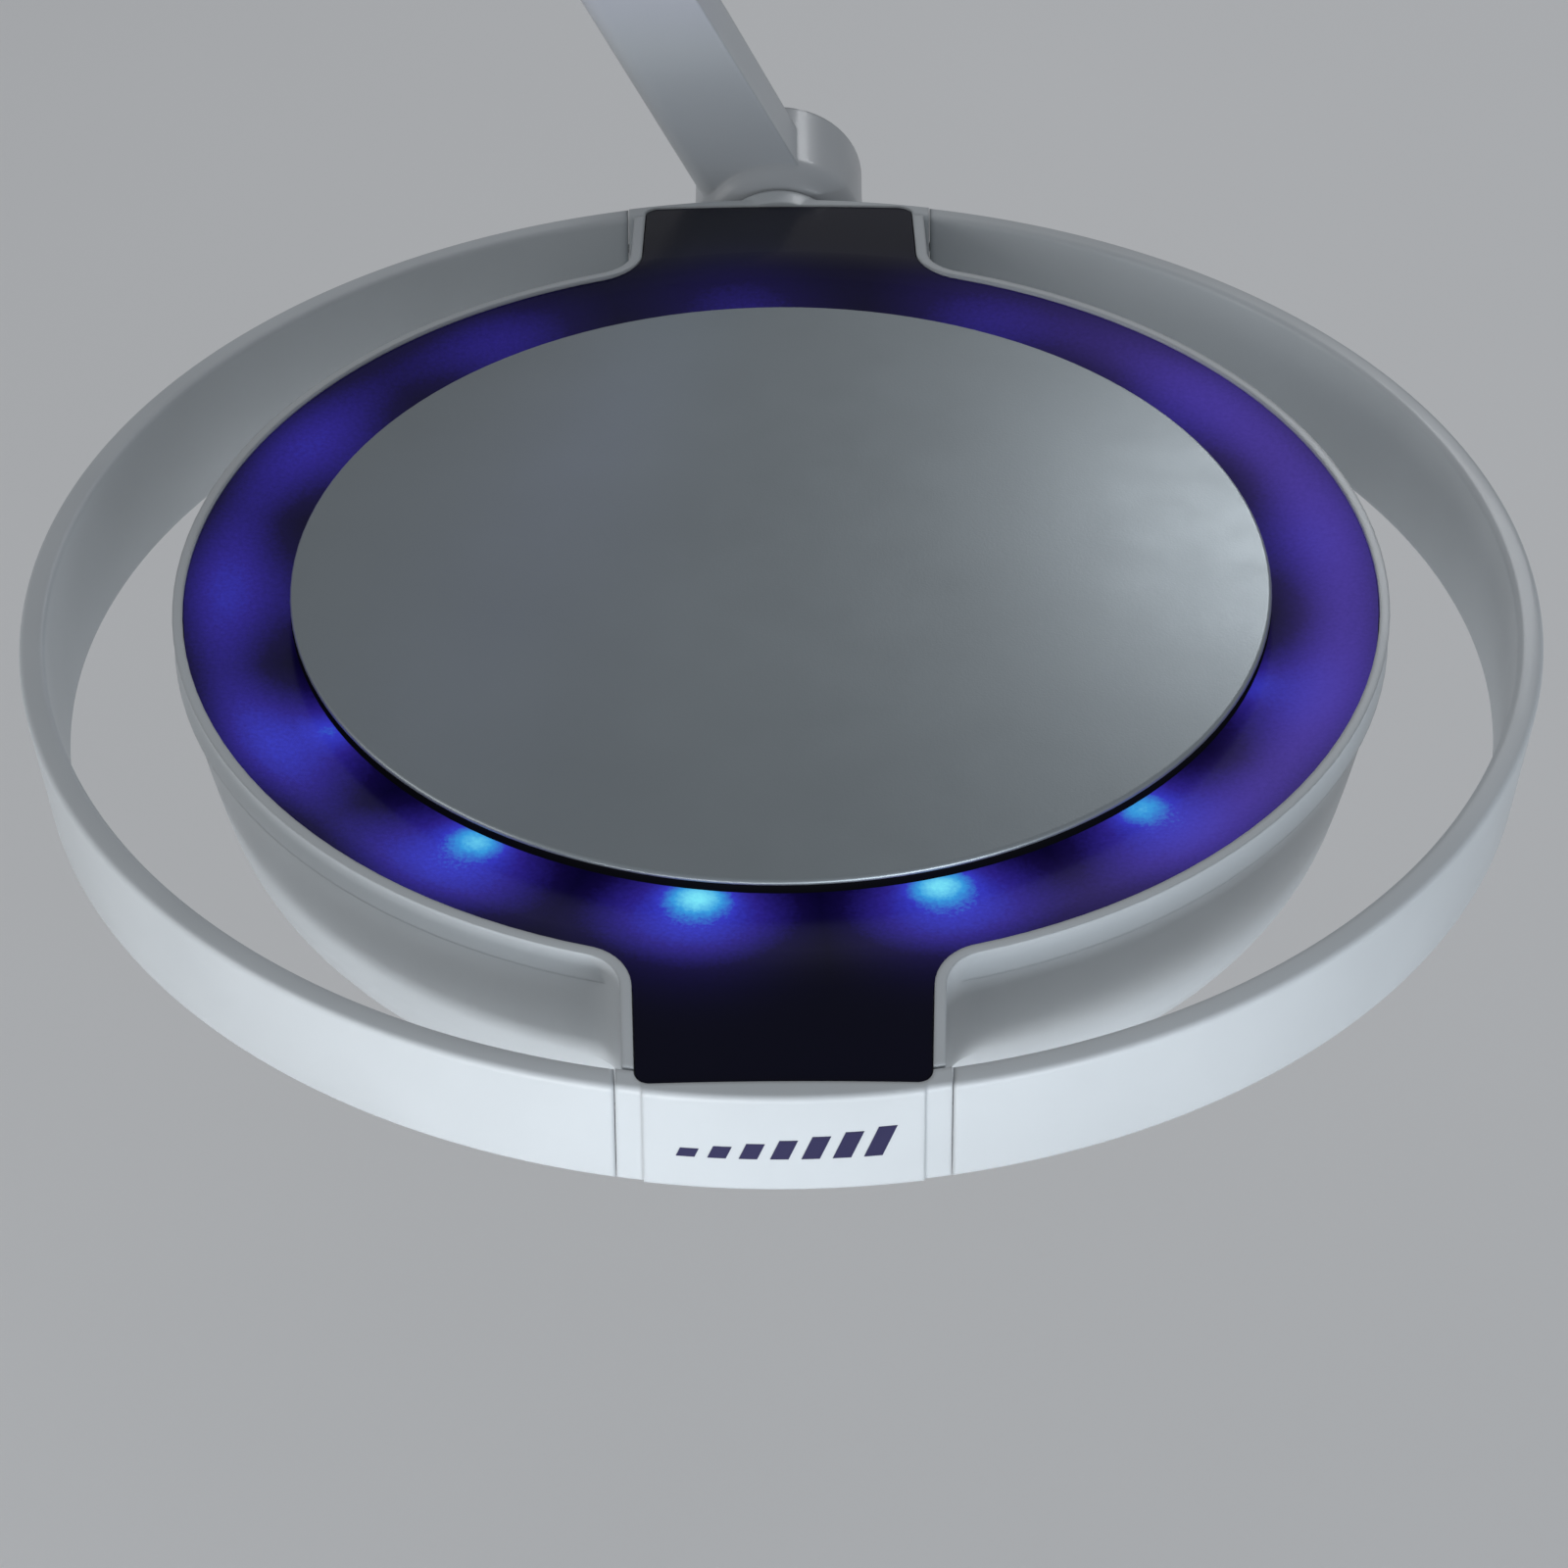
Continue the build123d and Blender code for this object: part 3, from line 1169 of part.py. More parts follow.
with BuildPart() as arm_cover:
    with BuildSketch(cover_spot((COVER_START + ARM_L - COVER_END) / 2, ARM_HALF)):
        Rectangle(ARM_W - 2 * ARM_WALL - 2 * COVER_GAP, ARM_L - COVER_START - COVER_END - 2 * COVER_GAP)
    extrude(amount=-COVER_T)
    for length in cover_lengths:
        with BuildSketch(cover_spot(length, ARM_HALF)):
            Circle(COVER_SCREW_R + SEAT)
        extrude(amount=-COVER_T, mode=Mode.SUBTRACT)
save("arm_cover", arm_cover.part)

cover_planes = [cover_spot(length, ARM_HALF) for length in cover_lengths]
cover_screws = cap_screws(cover_planes, SMALL_HEAD, COVER_SCREW_R, COVER_T + COVER_SCREW_L - SEAM)
save("cover_screws", cover_screws)

front_bush = flanged_bush(across_back(KNUCKLE, KNUCKLE_FRONT), SHAFT_R + RUNNING, KNUCKLE_BUSH_OUT,
                          FRONT_BUSH_L, BUSH_FLANGE_R)
save("knuckle_front_bush", front_bush)
rear_bush = flanged_bush(across(KNUCKLE, REAR_WALL_Y + BUSH_FLANGE_T), SHAFT_R + RUNNING, KNUCKLE_BUSH_OUT,
                         REAR_WALL_Y - KNUCKLE_FRONT - FRONT_BUSH_L + BUSH_FLANGE_T - SEAM, BUSH_FLANGE_R)
save("knuckle_rear_bush", rear_bush)

with BuildPart() as knuckle_cap:
    with BuildSketch(across(KNUCKLE, knuckle_back)):
        Circle(POCKET_R - SEAT)
    extrude(amount=-CAP_T)
save("knuckle_cap", knuckle_cap.part)

tilt_bush_out = HINGE_R + RUNNING + BUSH_WALL
with BuildPart() as tilt_bushes:
    for y, turn in ((-TILT_BARREL_W / 2, 1), (TILT_BARREL_W / 2, -1)):
        with BuildSketch(across(TILT, y)):
            Circle(tilt_bush_out)
            Circle(HINGE_R + RUNNING, mode=Mode.SUBTRACT)
        extrude(amount=turn * TILT_BUSH_L)
save("tilt_bushes", tilt_bushes.part)

with BuildPart() as friction_discs:
    for y in (-EAR_IN + RUNNING, EAR_IN - RUNNING - DISC_T):
        with BuildSketch(across(TILT, y)):
            Circle(EAR_R - DISC_INSET)
            Circle(HINGE_R + JOINT_GAP, mode=Mode.SUBTRACT)
        extrude(amount=DISC_T)
save("friction_discs", friction_discs.part)

# ================= yoke =================

HUB_BUSH_OUT = SPIGOT_R + RUNNING + BUSH_WALL
HUB_FLANGE_R = HUB_BUSH_OUT + BUSH_LIP
STOP_TRACK_HALF = STOP_PIN_R + JOINT_GAP

with BuildPart() as yoke:
    with BuildSketch(across(TILT, -EAR_OUT)):
        Circle(EAR_R)
        Rectangle(2 * EAR_R, HUB_LOW, align=(Align.CENTER, Align.MAX))
    extrude(amount=2 * EAR_OUT)
    fillet(yoke.edges().filter_by(Axis.Y).sort_by(Axis.Z)[-2:], YOKE_SHOULDER)
    with BuildSketch(across(TILT, -EAR_IN)):
        Rectangle(3 * EAR_R, 2 * BRIDGE_LOW)
    extrude(amount=2 * EAR_IN, mode=Mode.SUBTRACT)
    outer_rims = [e for e in yoke.edges() if abs(abs(e.center().Y) - EAR_OUT) < SEAM]
    fillet(outer_rims, YOKE_EDGE)
    with BuildSketch(tilt_level(HUB_LOW - BRIDGE_T / 2)):
        Circle(HUB_R)
    extrude(amount=HUB_H + BRIDGE_T / 2)
    with BuildSketch(tilt_level(BRIDGE_LOW)):
        Circle(HUB_BUSH_OUT + SEAT)
    extrude(amount=HUB_TOP - BRIDGE_LOW, mode=Mode.SUBTRACT)
    with BuildSketch(across(TILT, -EAR_OUT)):
        Circle(HINGE_R + SEAT)
    extrude(amount=2 * EAR_OUT, mode=Mode.SUBTRACT)
    with BuildSketch(tilt_level(HUB_TOP)):
        reach = SWIVEL_LIMIT + degrees(STOP_PIN_R / STOP_TRACK_R)
        with BuildLine():
            CenterArc((0, 0), STOP_TRACK_R, 90 - reach, 2 * reach)
        trace(line_width=2 * STOP_TRACK_HALF)
    extrude(amount=-STOP_TRACK_DEPTH, mode=Mode.SUBTRACT)
save("yoke", yoke.part)

upper_bush = flanged_bush(tilt_level(HUB_TOP + BUSH_FLANGE_T), SPIGOT_R + RUNNING, HUB_BUSH_OUT,
                          HUB_BUSH_L, HUB_FLANGE_R)
save("swivel_upper_bush", upper_bush)
lower_bush = flanged_bush(tilt_under(BRIDGE_LOW - BUSH_FLANGE_T), SPIGOT_R + RUNNING, HUB_BUSH_OUT,
                          HUB_BUSH_L, HUB_FLANGE_R)
save("swivel_lower_bush", lower_bush)

hinge_end = EAR_OUT + HINGE_WASHER_T + HINGE_NUT_T + HINGE_END

with BuildPart() as hinge_pin:
    with BuildSketch(across(TILT, -EAR_OUT)):
        Circle(HINGE_R)
    extrude(amount=EAR_OUT + hinge_end)
    with BuildSketch(across(TILT, -EAR_OUT)):
        Circle(HINGE_HEAD_R)
    extrude(amount=-HINGE_HEAD_T)
    chamfer(hinge_pin.faces().sort_by(Axis.Y)[-1].edges(), HINGE_CHAMFER)
    with BuildSketch(across(TILT, -EAR_OUT - HINGE_HEAD_T)):
        RegularPolygon(HINGE_SOCKET, 6)
    extrude(amount=HINGE_HEAD_T * SOCKET_DEPTH, mode=Mode.SUBTRACT)
save("hinge_pin", hinge_pin.part)

hinge_washer = washer(across(TILT, EAR_OUT), HINGE_R + SEAT, HINGE_NUT_R + HINGE_WASHER_LIP, HINGE_WASHER_T)
save("hinge_washer", hinge_washer)
hinge_nut = hex_nut(across(TILT, EAR_OUT + HINGE_WASHER_T), HINGE_R + SEAT, HINGE_NUT_R, HINGE_NUT_T)
save("hinge_nut", hinge_nut)


def hinge_cap(side, depth):
    """Push-on cover over one end of the hinge pin."""
    with BuildPart() as cap:
        with BuildSketch(across(TILT, side * EAR_OUT)):
            Circle(HINGE_CAP_R)
        extrude(amount=side * depth)
        outer = cap.faces().sort_by(Axis.Y)[-1 if side > 0 else 0]
        fillet(outer.edges(), HINGE_CAP_T)
        with BuildSketch(across(TILT, side * EAR_OUT)):
            Circle(HINGE_CAP_R - HINGE_CAP_T)
        extrude(amount=side * (depth - HINGE_CAP_T), mode=Mode.SUBTRACT)
    return cap.part


front_cap = hinge_cap(-1, HINGE_HEAD_T + HINGE_CAP_T + SEAM)
save("hinge_front_cap", front_cap)
rear_cap = hinge_cap(1, hinge_end - EAR_OUT + HINGE_CAP_T + SEAM)
save("hinge_rear_cap", rear_cap)

# ================= mount =================

spigot_shoulder = BRIDGE_LOW - BUSH_FLANGE_T - RUNNING
spigot_end = spigot_shoulder - SPIGOT_WASHER_T - SPIGOT_NUT_T - SPIGOT_THREAD_END
pin_top = PIN_LOW + SPIGOT_PLAIN + SPIGOT_GROOVE + SPIGOT_TOP

with BuildPart() as spigot:
    with BuildSketch(spigot_section):
        with BuildLine():
            Polyline(
                (0, spigot_end), (SPIGOT_THREAD_R - SPIGOT_THREAD_CHAMFER, spigot_end),
                (SPIGOT_THREAD_R, spigot_end + SPIGOT_THREAD_CHAMFER), (SPIGOT_THREAD_R, spigot_shoulder),
                (SPIGOT_R, spigot_shoulder), (SPIGOT_R, FLANGE_LOW), (SPIGOT_FLANGE_R, FLANGE_LOW),
                (SPIGOT_FLANGE_R, PIN_LOW - SPIGOT_RIM),
                (SPIGOT_FLANGE_R - SPIGOT_RIM, PIN_LOW), (SPIGOT_R, PIN_LOW),
                (SPIGOT_R, PIN_LOW + SPIGOT_PLAIN), (SPIGOT_R - SPIGOT_RIM, PIN_LOW + SPIGOT_PLAIN),
                (SPIGOT_R - SPIGOT_RIM, PIN_LOW + SPIGOT_PLAIN + SPIGOT_GROOVE),
                (SPIGOT_R, PIN_LOW + SPIGOT_PLAIN + SPIGOT_GROOVE),
                (SPIGOT_R, pin_top - SPIGOT_LEAD), (SPIGOT_R - SPIGOT_LEAD, pin_top), (0, pin_top),
                close=True)
        make_face()
    revolve(axis=Axis.Z)
    with BuildSketch(tilt_level(FLANGE_LOW)):
        with Locations((0, STOP_TRACK_R)):
            Circle(STOP_PIN_R + SEAT)
    extrude(amount=SPIGOT_FLANGE_T / 2, mode=Mode.SUBTRACT)
save("spigot", spigot.part)

with BuildPart() as stop_pin:
    with BuildSketch(tilt_level(HUB_TOP - STOP_TRACK_DEPTH + JOINT_GAP)):
        with Locations((0, STOP_TRACK_R)):
            Circle(STOP_PIN_R)
    extrude(amount=FLANGE_LOW + SPIGOT_FLANGE_T / 2 - HUB_TOP + STOP_TRACK_DEPTH - JOINT_GAP - SEAT)
save("stop_pin", stop_pin.part)

swivel_disc = washer(tilt_level(FLANGE_LOW - RUNNING - DISC_T), SPIGOT_R + SEAT, HUB_FLANGE_R, DISC_T)
save("swivel_disc", swivel_disc)
spigot_washer = washer(tilt_level(spigot_shoulder - SPIGOT_WASHER_T), SPIGOT_THREAD_R + SEAT,
                       HUB_FLANGE_R, SPIGOT_WASHER_T)
save("spigot_washer", spigot_washer)
spigot_nut = hex_nut(tilt_level(spigot_shoulder - SPIGOT_WASHER_T - SPIGOT_NUT_T), SPIGOT_THREAD_R + SEAT,
                     SPIGOT_NUT_R, SPIGOT_NUT_T)
save("spigot_nut", spigot_nut)
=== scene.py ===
import json
import math
import bmesh
import bpy
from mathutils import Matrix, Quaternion, Vector


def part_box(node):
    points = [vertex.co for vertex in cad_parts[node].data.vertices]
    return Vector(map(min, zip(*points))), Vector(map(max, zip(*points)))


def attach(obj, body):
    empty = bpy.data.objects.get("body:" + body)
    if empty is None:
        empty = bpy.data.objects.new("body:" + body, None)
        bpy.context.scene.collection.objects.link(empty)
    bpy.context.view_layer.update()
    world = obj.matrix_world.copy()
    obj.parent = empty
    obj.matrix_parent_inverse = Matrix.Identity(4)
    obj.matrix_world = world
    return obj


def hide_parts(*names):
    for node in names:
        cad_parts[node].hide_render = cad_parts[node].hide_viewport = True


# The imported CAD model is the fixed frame. Everything here is in metres, in the same frame.
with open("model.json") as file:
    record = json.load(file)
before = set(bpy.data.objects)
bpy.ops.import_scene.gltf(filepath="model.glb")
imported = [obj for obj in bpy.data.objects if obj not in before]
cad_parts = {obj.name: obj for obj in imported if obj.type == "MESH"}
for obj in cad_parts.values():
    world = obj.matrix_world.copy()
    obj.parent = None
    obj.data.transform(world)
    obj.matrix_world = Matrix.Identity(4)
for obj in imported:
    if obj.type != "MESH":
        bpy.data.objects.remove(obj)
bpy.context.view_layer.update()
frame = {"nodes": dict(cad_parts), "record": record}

MM = 0.001

# ---- places read from the frame ----
dome_low, dome_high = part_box("dome_cover")
handle_low, handle_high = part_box("handle_right")
band_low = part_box("front_band")[0]
CROWN_STEP = 1.4 * MM                      # the band's inner edge stands this far above its outer edge
EDGE_ROUND = 0.24 * MM                     # what a rounded edge takes off the band's widest radius
BAND_TAPER = 0.169                         # how much the band's radius shrinks per unit of height
BAND_WALL = 6.9 * MM                       # the grip band's thickness
BAND_EDGE = 1.6 * MM                       # rounding of the band's edges
EDGE_STEPS = 6                             # facets round each edge of the band
HANDLE_STEPS = 320                         # facets along each handle
SOFT_EDGE = 1.5 * MM                       # shading radius on the edges of painted and moulded pieces
HEAD = Vector(((dome_low.x + dome_high.x) / 2, (dome_low.y + dome_high.y) / 2, handle_high.z - CROWN_STEP))

# ---- the halo, as the CAD lays it out ----
HALO_LEDS = 13
HALO_PHASE = math.radians(-155.0)          # direction of the first LED from the head's axis
HALO_STEP = 2 * math.pi / HALO_LEDS
RING_R = handle_high.x - HEAD.x + EDGE_ROUND
DOME_R = (dome_high.x - dome_low.x) / 2
DOME_EDGE = 12.3 * MM                      # height of the dome's edge over the ring's top edge
# painted light on the halo window: the pools, hot cores and side wash below are glow painted on by emission
CORE_R = DOME_R - 1.0 * MM                 # the brightest part of a pool
POOL_R = DOME_R + 8.0 * MM                 # the middle of a pool
CORE_SPREAD = (8.0 * MM, 7.0 * MM)         # widths of a core round the halo and across it
POOL_SPREAD = (23.0 * MM, 19.0 * MM)       # widths of a pool round the halo and across it
WASH_R = POOL_R + 11.0 * MM                # the even light along the sides
WASH_SPREAD = 11.0 * MM
WASH_LEVEL = 0.22
VIOLET_REFLECTION_R = POOL_R + 12.0 * MM              # the painted violet reflection on the right side
VIOLET_REFLECTION_SPREAD = 12.0 * MM
VIOLET_REFLECTION_SHARE = 0.65
PAINTED_SHADE_DEPTH = 0.9 * MM                      # the dome is painted black as shade this far under its edge
VIOLET_REFLECTION_FROM = 45.0 * MM                      # heights over the head between which the arm's painted violet reflection comes in
VIOLET_REFLECTION_TO = 110.0 * MM                       # violet cast comes in

# ---- the printed mark on the badge field ----
MARK_BARS = 7
MARK_PITCH = 8.0 * MM
MARK_WIDTH = 4.6 * MM
MARK_SLANT = 0.35                          # sideways lean per unit of height
MARK_FOOT = -21.5 * MM                     # the bars' lower ends, from the ring's top edge
MARK_FIRST = 3.0 * MM                      # height of the shortest bar
MARK_RISE = 1.25 * MM                      # each bar is this much taller than the one before
MARK_INK = 0.12 * MM                       # the ink stands off the band by this much
MARK_SINK = 0.05 * MM                      # and starts this far inside it
MARK_ROWS = 6

# ---- the stage ----
FLOOR_DROP = 0.42                          # from the ring's lower edge to the floor
FLOOR_SIZE = 60.0
VIEW_ELEVATION = math.radians(36.045)      # where the camera stands, seen from the head
VIEW_DISTANCE = 2.6046
LOOK_PITCH = math.radians(36.984)          # how far down it looks
LOOK_TURN = math.radians(-0.0145)
LOOK_ROLL = math.radians(-0.302)


# ================= node helpers =================

def new_material(name):
    """An empty node material with a Principled shader on its output."""
    material = bpy.data.materials.new(name)
    material.use_nodes = True
    shader = material.node_tree.nodes["Principled BSDF"]
    return material, material.node_tree, shader


def node(tree, kind, **settings):
    """One node; settings with a capital letter are input values, the others are its properties."""
    made = tree.nodes.new(kind)
    for key, value in settings.items():
        if key[0].isupper():
            made.inputs[key.replace("_", " ")].default_value = value
        else:
            setattr(made, key, value)
    return made


def math_node(tree, operation, *values):
    """A Math node; a value is a number or another node's output."""
    made = tree.nodes.new("ShaderNodeMath")
    made.operation = operation
    for slot_index, value in enumerate(values):
        if isinstance(value, (int, float)):
            made.inputs[slot_index].default_value = value
        else:
            tree.links.new(value, made.inputs[slot_index])
    return made.outputs[0]


def object_coordinates(tree):
    return tree.nodes.new("ShaderNodeTexCoord").outputs["Object"]


def object_height(tree):
    """Height of the shaded point, as it is at rest."""
    axes = tree.nodes.new("ShaderNodeSeparateXYZ")
    tree.links.new(object_coordinates(tree), axes.inputs["Vector"])
    return axes.outputs["Z"]


def product(tree, *values):
    """The values multiplied together, in order."""
    result = values[0]
    for value in values[1:]:
        result = math_node(tree, "MULTIPLY", result, value)
    return result


def mixed(tree, factor, first, second):
    """Colour from first to second by a factor; each is a colour or another node's output."""
    made = tree.nodes.new("ShaderNodeMix")
    made.data_type = "RGBA"
    tree.links.new(factor, made.inputs["Factor"])
    for name, colour in (("A", first), ("B", second)):
        if isinstance(colour, tuple):
            made.inputs[name].default_value = (*colour, 1)
        else:
            tree.links.new(colour, made.inputs[name])
    return made.outputs["Result"]


def base_tone(shader):
    """The output that feeds a shader's base colour."""
    return shader.inputs["Base Color"].links[0].from_socket


def noise(tree, vector, scale, detail=3.0, roughness=0.55):
    made = node(tree, "ShaderNodeTexNoise", Scale=scale, Detail=detail, Roughness=roughness)
    tree.links.new(vector, made.inputs["Vector"])
    return made.outputs["Fac"]


def ramp(tree, factor, stops):
    """A colour ramp from (position, colour) stops."""
    made = tree.nodes.new("ShaderNodeValToRGB")
    elements = made.color_ramp.elements
    while len(elements) < len(stops):
        elements.new(0.5)
    for element, (position, colour) in zip(elements, stops):
        element.position = position
        element.color = (*colour, 1)
    tree.links.new(factor, made.inputs["Fac"])
    return made.outputs["Color"]


def bump(tree, shader, height, strength, distance, soft_edge=0.0):
    """Surface relief; soft_edge rounds the shading of sharp edges by that radius."""
    made = node(tree, "ShaderNodeBump", Strength=strength, Distance=distance)
    tree.links.new(height, made.inputs["Height"])
    if soft_edge:
        edge = node(tree, "ShaderNodeBevel", Radius=soft_edge)
        edge.samples = 6
        tree.links.new(edge.outputs["Normal"], made.inputs["Normal"])
    tree.links.new(made.outputs["Normal"], shader.inputs["Normal"])


def varied(tree, shader, socket, factor, low, high):
    """Drive a number input between two values by a factor."""
    made = node(tree, "ShaderNodeMapRange", To_Min=low, To_Max=high)
    tree.links.new(factor, made.inputs["Value"])
    tree.links.new(made.outputs["Result"], shader.inputs[socket])


def shade(colour, factor):
    return tuple(min(1.0, channel * factor) for channel in colour)


# ================= materials =================

def moulded(name, colour, roughness, grain=900.0, depth=0.03, spread=0.05, metallic=0.0, coat=0.0,
            soft_edge=0.0):
    """Moulded or painted surface: slow tone drift, fine grain and a little uneven gloss."""
    material, tree, shader = new_material(name)
    place = object_coordinates(tree)
    drift = noise(tree, place, 14.0, 2.0)
    fine = noise(tree, place, grain, 3.0)
    tone = ramp(tree, drift, [(0.3, shade(colour, 1 - spread)), (0.7, shade(colour, 1 + spread))])
    tree.links.new(tone, shader.inputs["Base Color"])
    varied(tree, shader, "Roughness", noise(tree, place, 60.0), roughness - 0.05, roughness + 0.06)
    shader.inputs["Metallic"].default_value = metallic
    shader.inputs["Coat Weight"].default_value = coat
    shader.inputs["Coat Roughness"].default_value = 0.12
    bump(tree, shader, fine, depth, 0.4 * MM, soft_edge)
    return material


def turned_metal(name, colour, roughness, rings=1400.0):
    """Bare machined metal with fine tool marks along the height."""
    material, tree, shader = new_material(name)
    place = object_coordinates(tree)
    stretch = node(tree, "ShaderNodeMapping", Scale=(0.15, 0.15, 1.0))
    tree.links.new(place, stretch.inputs["Vector"])
    marks = noise(tree, stretch.outputs["Vector"], rings, 2.0)
    tone = ramp(tree, marks, [(0.35, shade(colour, 0.86)), (0.65, shade(colour, 1.08))])
    tree.links.new(tone, shader.inputs["Base Color"])
    shader.inputs["Metallic"].default_value = 1.0
    varied(tree, shader, "Roughness", marks, roughness - 0.06, roughness + 0.08)
    bump(tree, shader, marks, 0.05, 0.2 * MM)
    return material


def sintered(name, colour):
    """Porous bronze."""
    material, tree, shader = new_material(name)
    place = object_coordinates(tree)
    pores = noise(tree, place, 1800.0, 4.0)
    tone = ramp(tree, pores, [(0.38, shade(colour, 0.55)), (0.55, colour)])
    tree.links.new(tone, shader.inputs["Base Color"])
    shader.inputs["Metallic"].default_value = 1.0
    varied(tree, shader, "Roughness", pores, 0.5, 0.34)
    bump(tree, shader, pores, 0.2, 0.2 * MM)
    return material


def clear(name, colour, roughness, ior):
    """Clear optic with a trace of moulding haze."""
    material, tree, shader = new_material(name)
    place = object_coordinates(tree)
    haze = noise(tree, place, 40.0, 2.0)
    shader.inputs["Base Color"].default_value = (*colour, 1)
    shader.inputs["Transmission Weight"].default_value = 1.0
    shader.inputs["IOR"].default_value = ior
    varied(tree, shader, "Roughness", haze, roughness, roughness + 0.05)
    return material


def circuit(name, mask, track):
    """Solder mask with a fine pattern of tracks."""
    material, tree, shader = new_material(name)
    place = object_coordinates(tree)
    cells = node(tree, "ShaderNodeTexVoronoi", Scale=260.0, feature="DISTANCE_TO_EDGE", distance="MANHATTAN")
    tree.links.new(place, cells.inputs["Vector"])
    tone = ramp(tree, cells.outputs["Distance"], [(0.04, track), (0.09, mask)])
    tree.links.new(tone, shader.inputs["Base Color"])
    varied(tree, shader, "Roughness", noise(tree, place, 200.0), 0.25, 0.38)
    bump(tree, shader, cells.outputs["Distance"], 0.1, 0.1 * MM)
    return material


def led_package(name, body, light, strength):
    """LED package that glows."""
    material, tree, shader = new_material(name)
    place = object_coordinates(tree)
    tone = ramp(tree, noise(tree, place, 700.0), [(0.3, shade(body, 0.9)), (0.7, body)])
    tree.links.new(tone, shader.inputs["Base Color"])
    shader.inputs["Roughness"].default_value = 0.35
    shader.inputs["Emission Color"].default_value = (*light, 1)
    shader.inputs["Emission Strength"].default_value = strength
    return material


def halo_position(tree):
    """Where a point of the halo lies.

    Gives its radius from the head's axis, its distance round the halo from the nearest LED, and how far it
    lies to the front and to the right as shares of that radius.
    """
    offset = node(tree, "ShaderNodeVectorMath", operation="SUBTRACT")
    tree.links.new(object_coordinates(tree), offset.inputs[0])
    offset.inputs[1].default_value = HEAD
    axes = tree.nodes.new("ShaderNodeSeparateXYZ")
    tree.links.new(offset.outputs["Vector"], axes.inputs["Vector"])
    x, y = axes.outputs["X"], axes.outputs["Y"]
    radius = math_node(tree, "SQRT", math_node(tree, "ADD", product(tree, x, x), product(tree, y, y)))
    angle = math_node(tree, "ARCTAN2", y, x)
    past = math_node(tree, "SUBTRACT", angle, HALO_PHASE - HALO_STEP / 2)
    turns = math_node(tree, "DIVIDE", past, HALO_STEP)
    share = math_node(tree, "SUBTRACT", math_node(tree, "FRACT", turns), 0.5)
    along = product(tree, share, HALO_STEP, radius)
    front = math_node(tree, "DIVIDE", product(tree, y, -1.0), radius)
    side = math_node(tree, "DIVIDE", x, radius)
    return radius, along, front, side


def bell(tree, value, centre, width):
    """Smooth bump of height 1 about a centre."""
    away = math_node(tree, "DIVIDE", math_node(tree, "SUBTRACT", value, centre), width)
    return math_node(tree, "EXPONENT", product(tree, away, away, -1.0))


def halo_tint_painted_glow(name):
    """Deep blue tinted acrylic, with the light of the LEDs under the dome's edge painted on it as glow and a
    painted violet reflection on its right side.
    """
    material, tree, shader = new_material(name)
    radius, along, front, side = halo_position(tree)
    # painted light: a wide blue pool round each LED and a hot core close to the dome's edge, both painted
    # strongest at the front, where the cores show as glints
    front_glint_weight = math_node(tree, "SMOOTH_MAX", front, 0.0, 0.2)
    painted_pool = product(tree, bell(tree, along, 0.0, POOL_SPREAD[0]), bell(tree, radius, POOL_R, POOL_SPREAD[1]))
    painted_core = product(tree, bell(tree, along, 0.0, CORE_SPREAD[0]), bell(tree, radius, CORE_R, CORE_SPREAD[1]))
    pool_level = product(tree, painted_pool, math_node(tree, "MULTIPLY_ADD", front_glint_weight, 0.32, 0.18))
    core_level = product(tree, painted_core, product(tree, front_glint_weight, 0.60))
    # painted light: an even wash along the sides, standing for the ring of LEDs lighting the window
    # lengthwise
    sides = math_node(tree, "POWER", math_node(tree, "ABSOLUTE", side), 1.5)
    painted_wash = product(tree, bell(tree, radius, WASH_R, WASH_SPREAD), product(tree, sides, WASH_LEVEL))
    grain = math_node(tree, "MULTIPLY_ADD", noise(tree, object_coordinates(tree), 900.0, 4.0), 0.5, 0.75)
    level = math_node(tree, "ADD", product(tree, math_node(tree, "ADD", pool_level, painted_wash), grain), core_level)
    blues = ramp(tree, level, [(0.0, (0.0, 0.0, 0.0)), (0.12, (0.004, 0.002, 0.035)),
                               (0.3, (0.022, 0.014, 0.22)), (0.5, (0.035, 0.04, 0.5)),
                               (0.72, (0.04, 0.32, 0.72)), (1.0, (0.20, 0.80, 0.95))])
    # painted reflection: the right side of the window turns violet
    right = product(tree, bell(tree, side, 0.95, 0.42), bell(tree, radius, VIOLET_REFLECTION_R, VIOLET_REFLECTION_SPREAD))
    glow = mixed(tree, product(tree, right, grain, VIOLET_REFLECTION_SHARE), blues, (0.075, 0.045, 0.33))
    tree.links.new(glow, shader.inputs["Emission Color"])
    shader.inputs["Emission Strength"].default_value = 1.0
    shader.inputs["Base Color"].default_value = (0.002, 0.002, 0.012, 1)
    varied(tree, shader, "Roughness", noise(tree, object_coordinates(tree), 90.0), 0.16, 0.24)
    shader.inputs["Specular IOR Level"].default_value = 0.12
    return material


def domed_satin(name):
    """Satin metallic paint on the dome, with the rolled edge under the rim painted black as shade, without
    metal or highlight.
    """
    material = moulded(name, (0.30, 0.335, 0.355), 0.36, 1500.0, 0.06, 0.03, metallic=0.7)
    tree = material.node_tree
    shader = tree.nodes["Principled BSDF"]
    # painted shade: below its edge the dome turns black and loses its metal and highlight
    above_painted_shade = math_node(tree, "GREATER_THAN", object_height(tree), HEAD.z + DOME_EDGE - PAINTED_SHADE_DEPTH)
    tree.links.new(mixed(tree, above_painted_shade, (0.006, 0.006, 0.008), base_tone(shader)), shader.inputs["Base Color"])
    tree.links.new(product(tree, above_painted_shade, 0.7), shader.inputs["Metallic"])
    tree.links.new(product(tree, above_painted_shade, 0.5), shader.inputs["Specular IOR Level"])
    return material


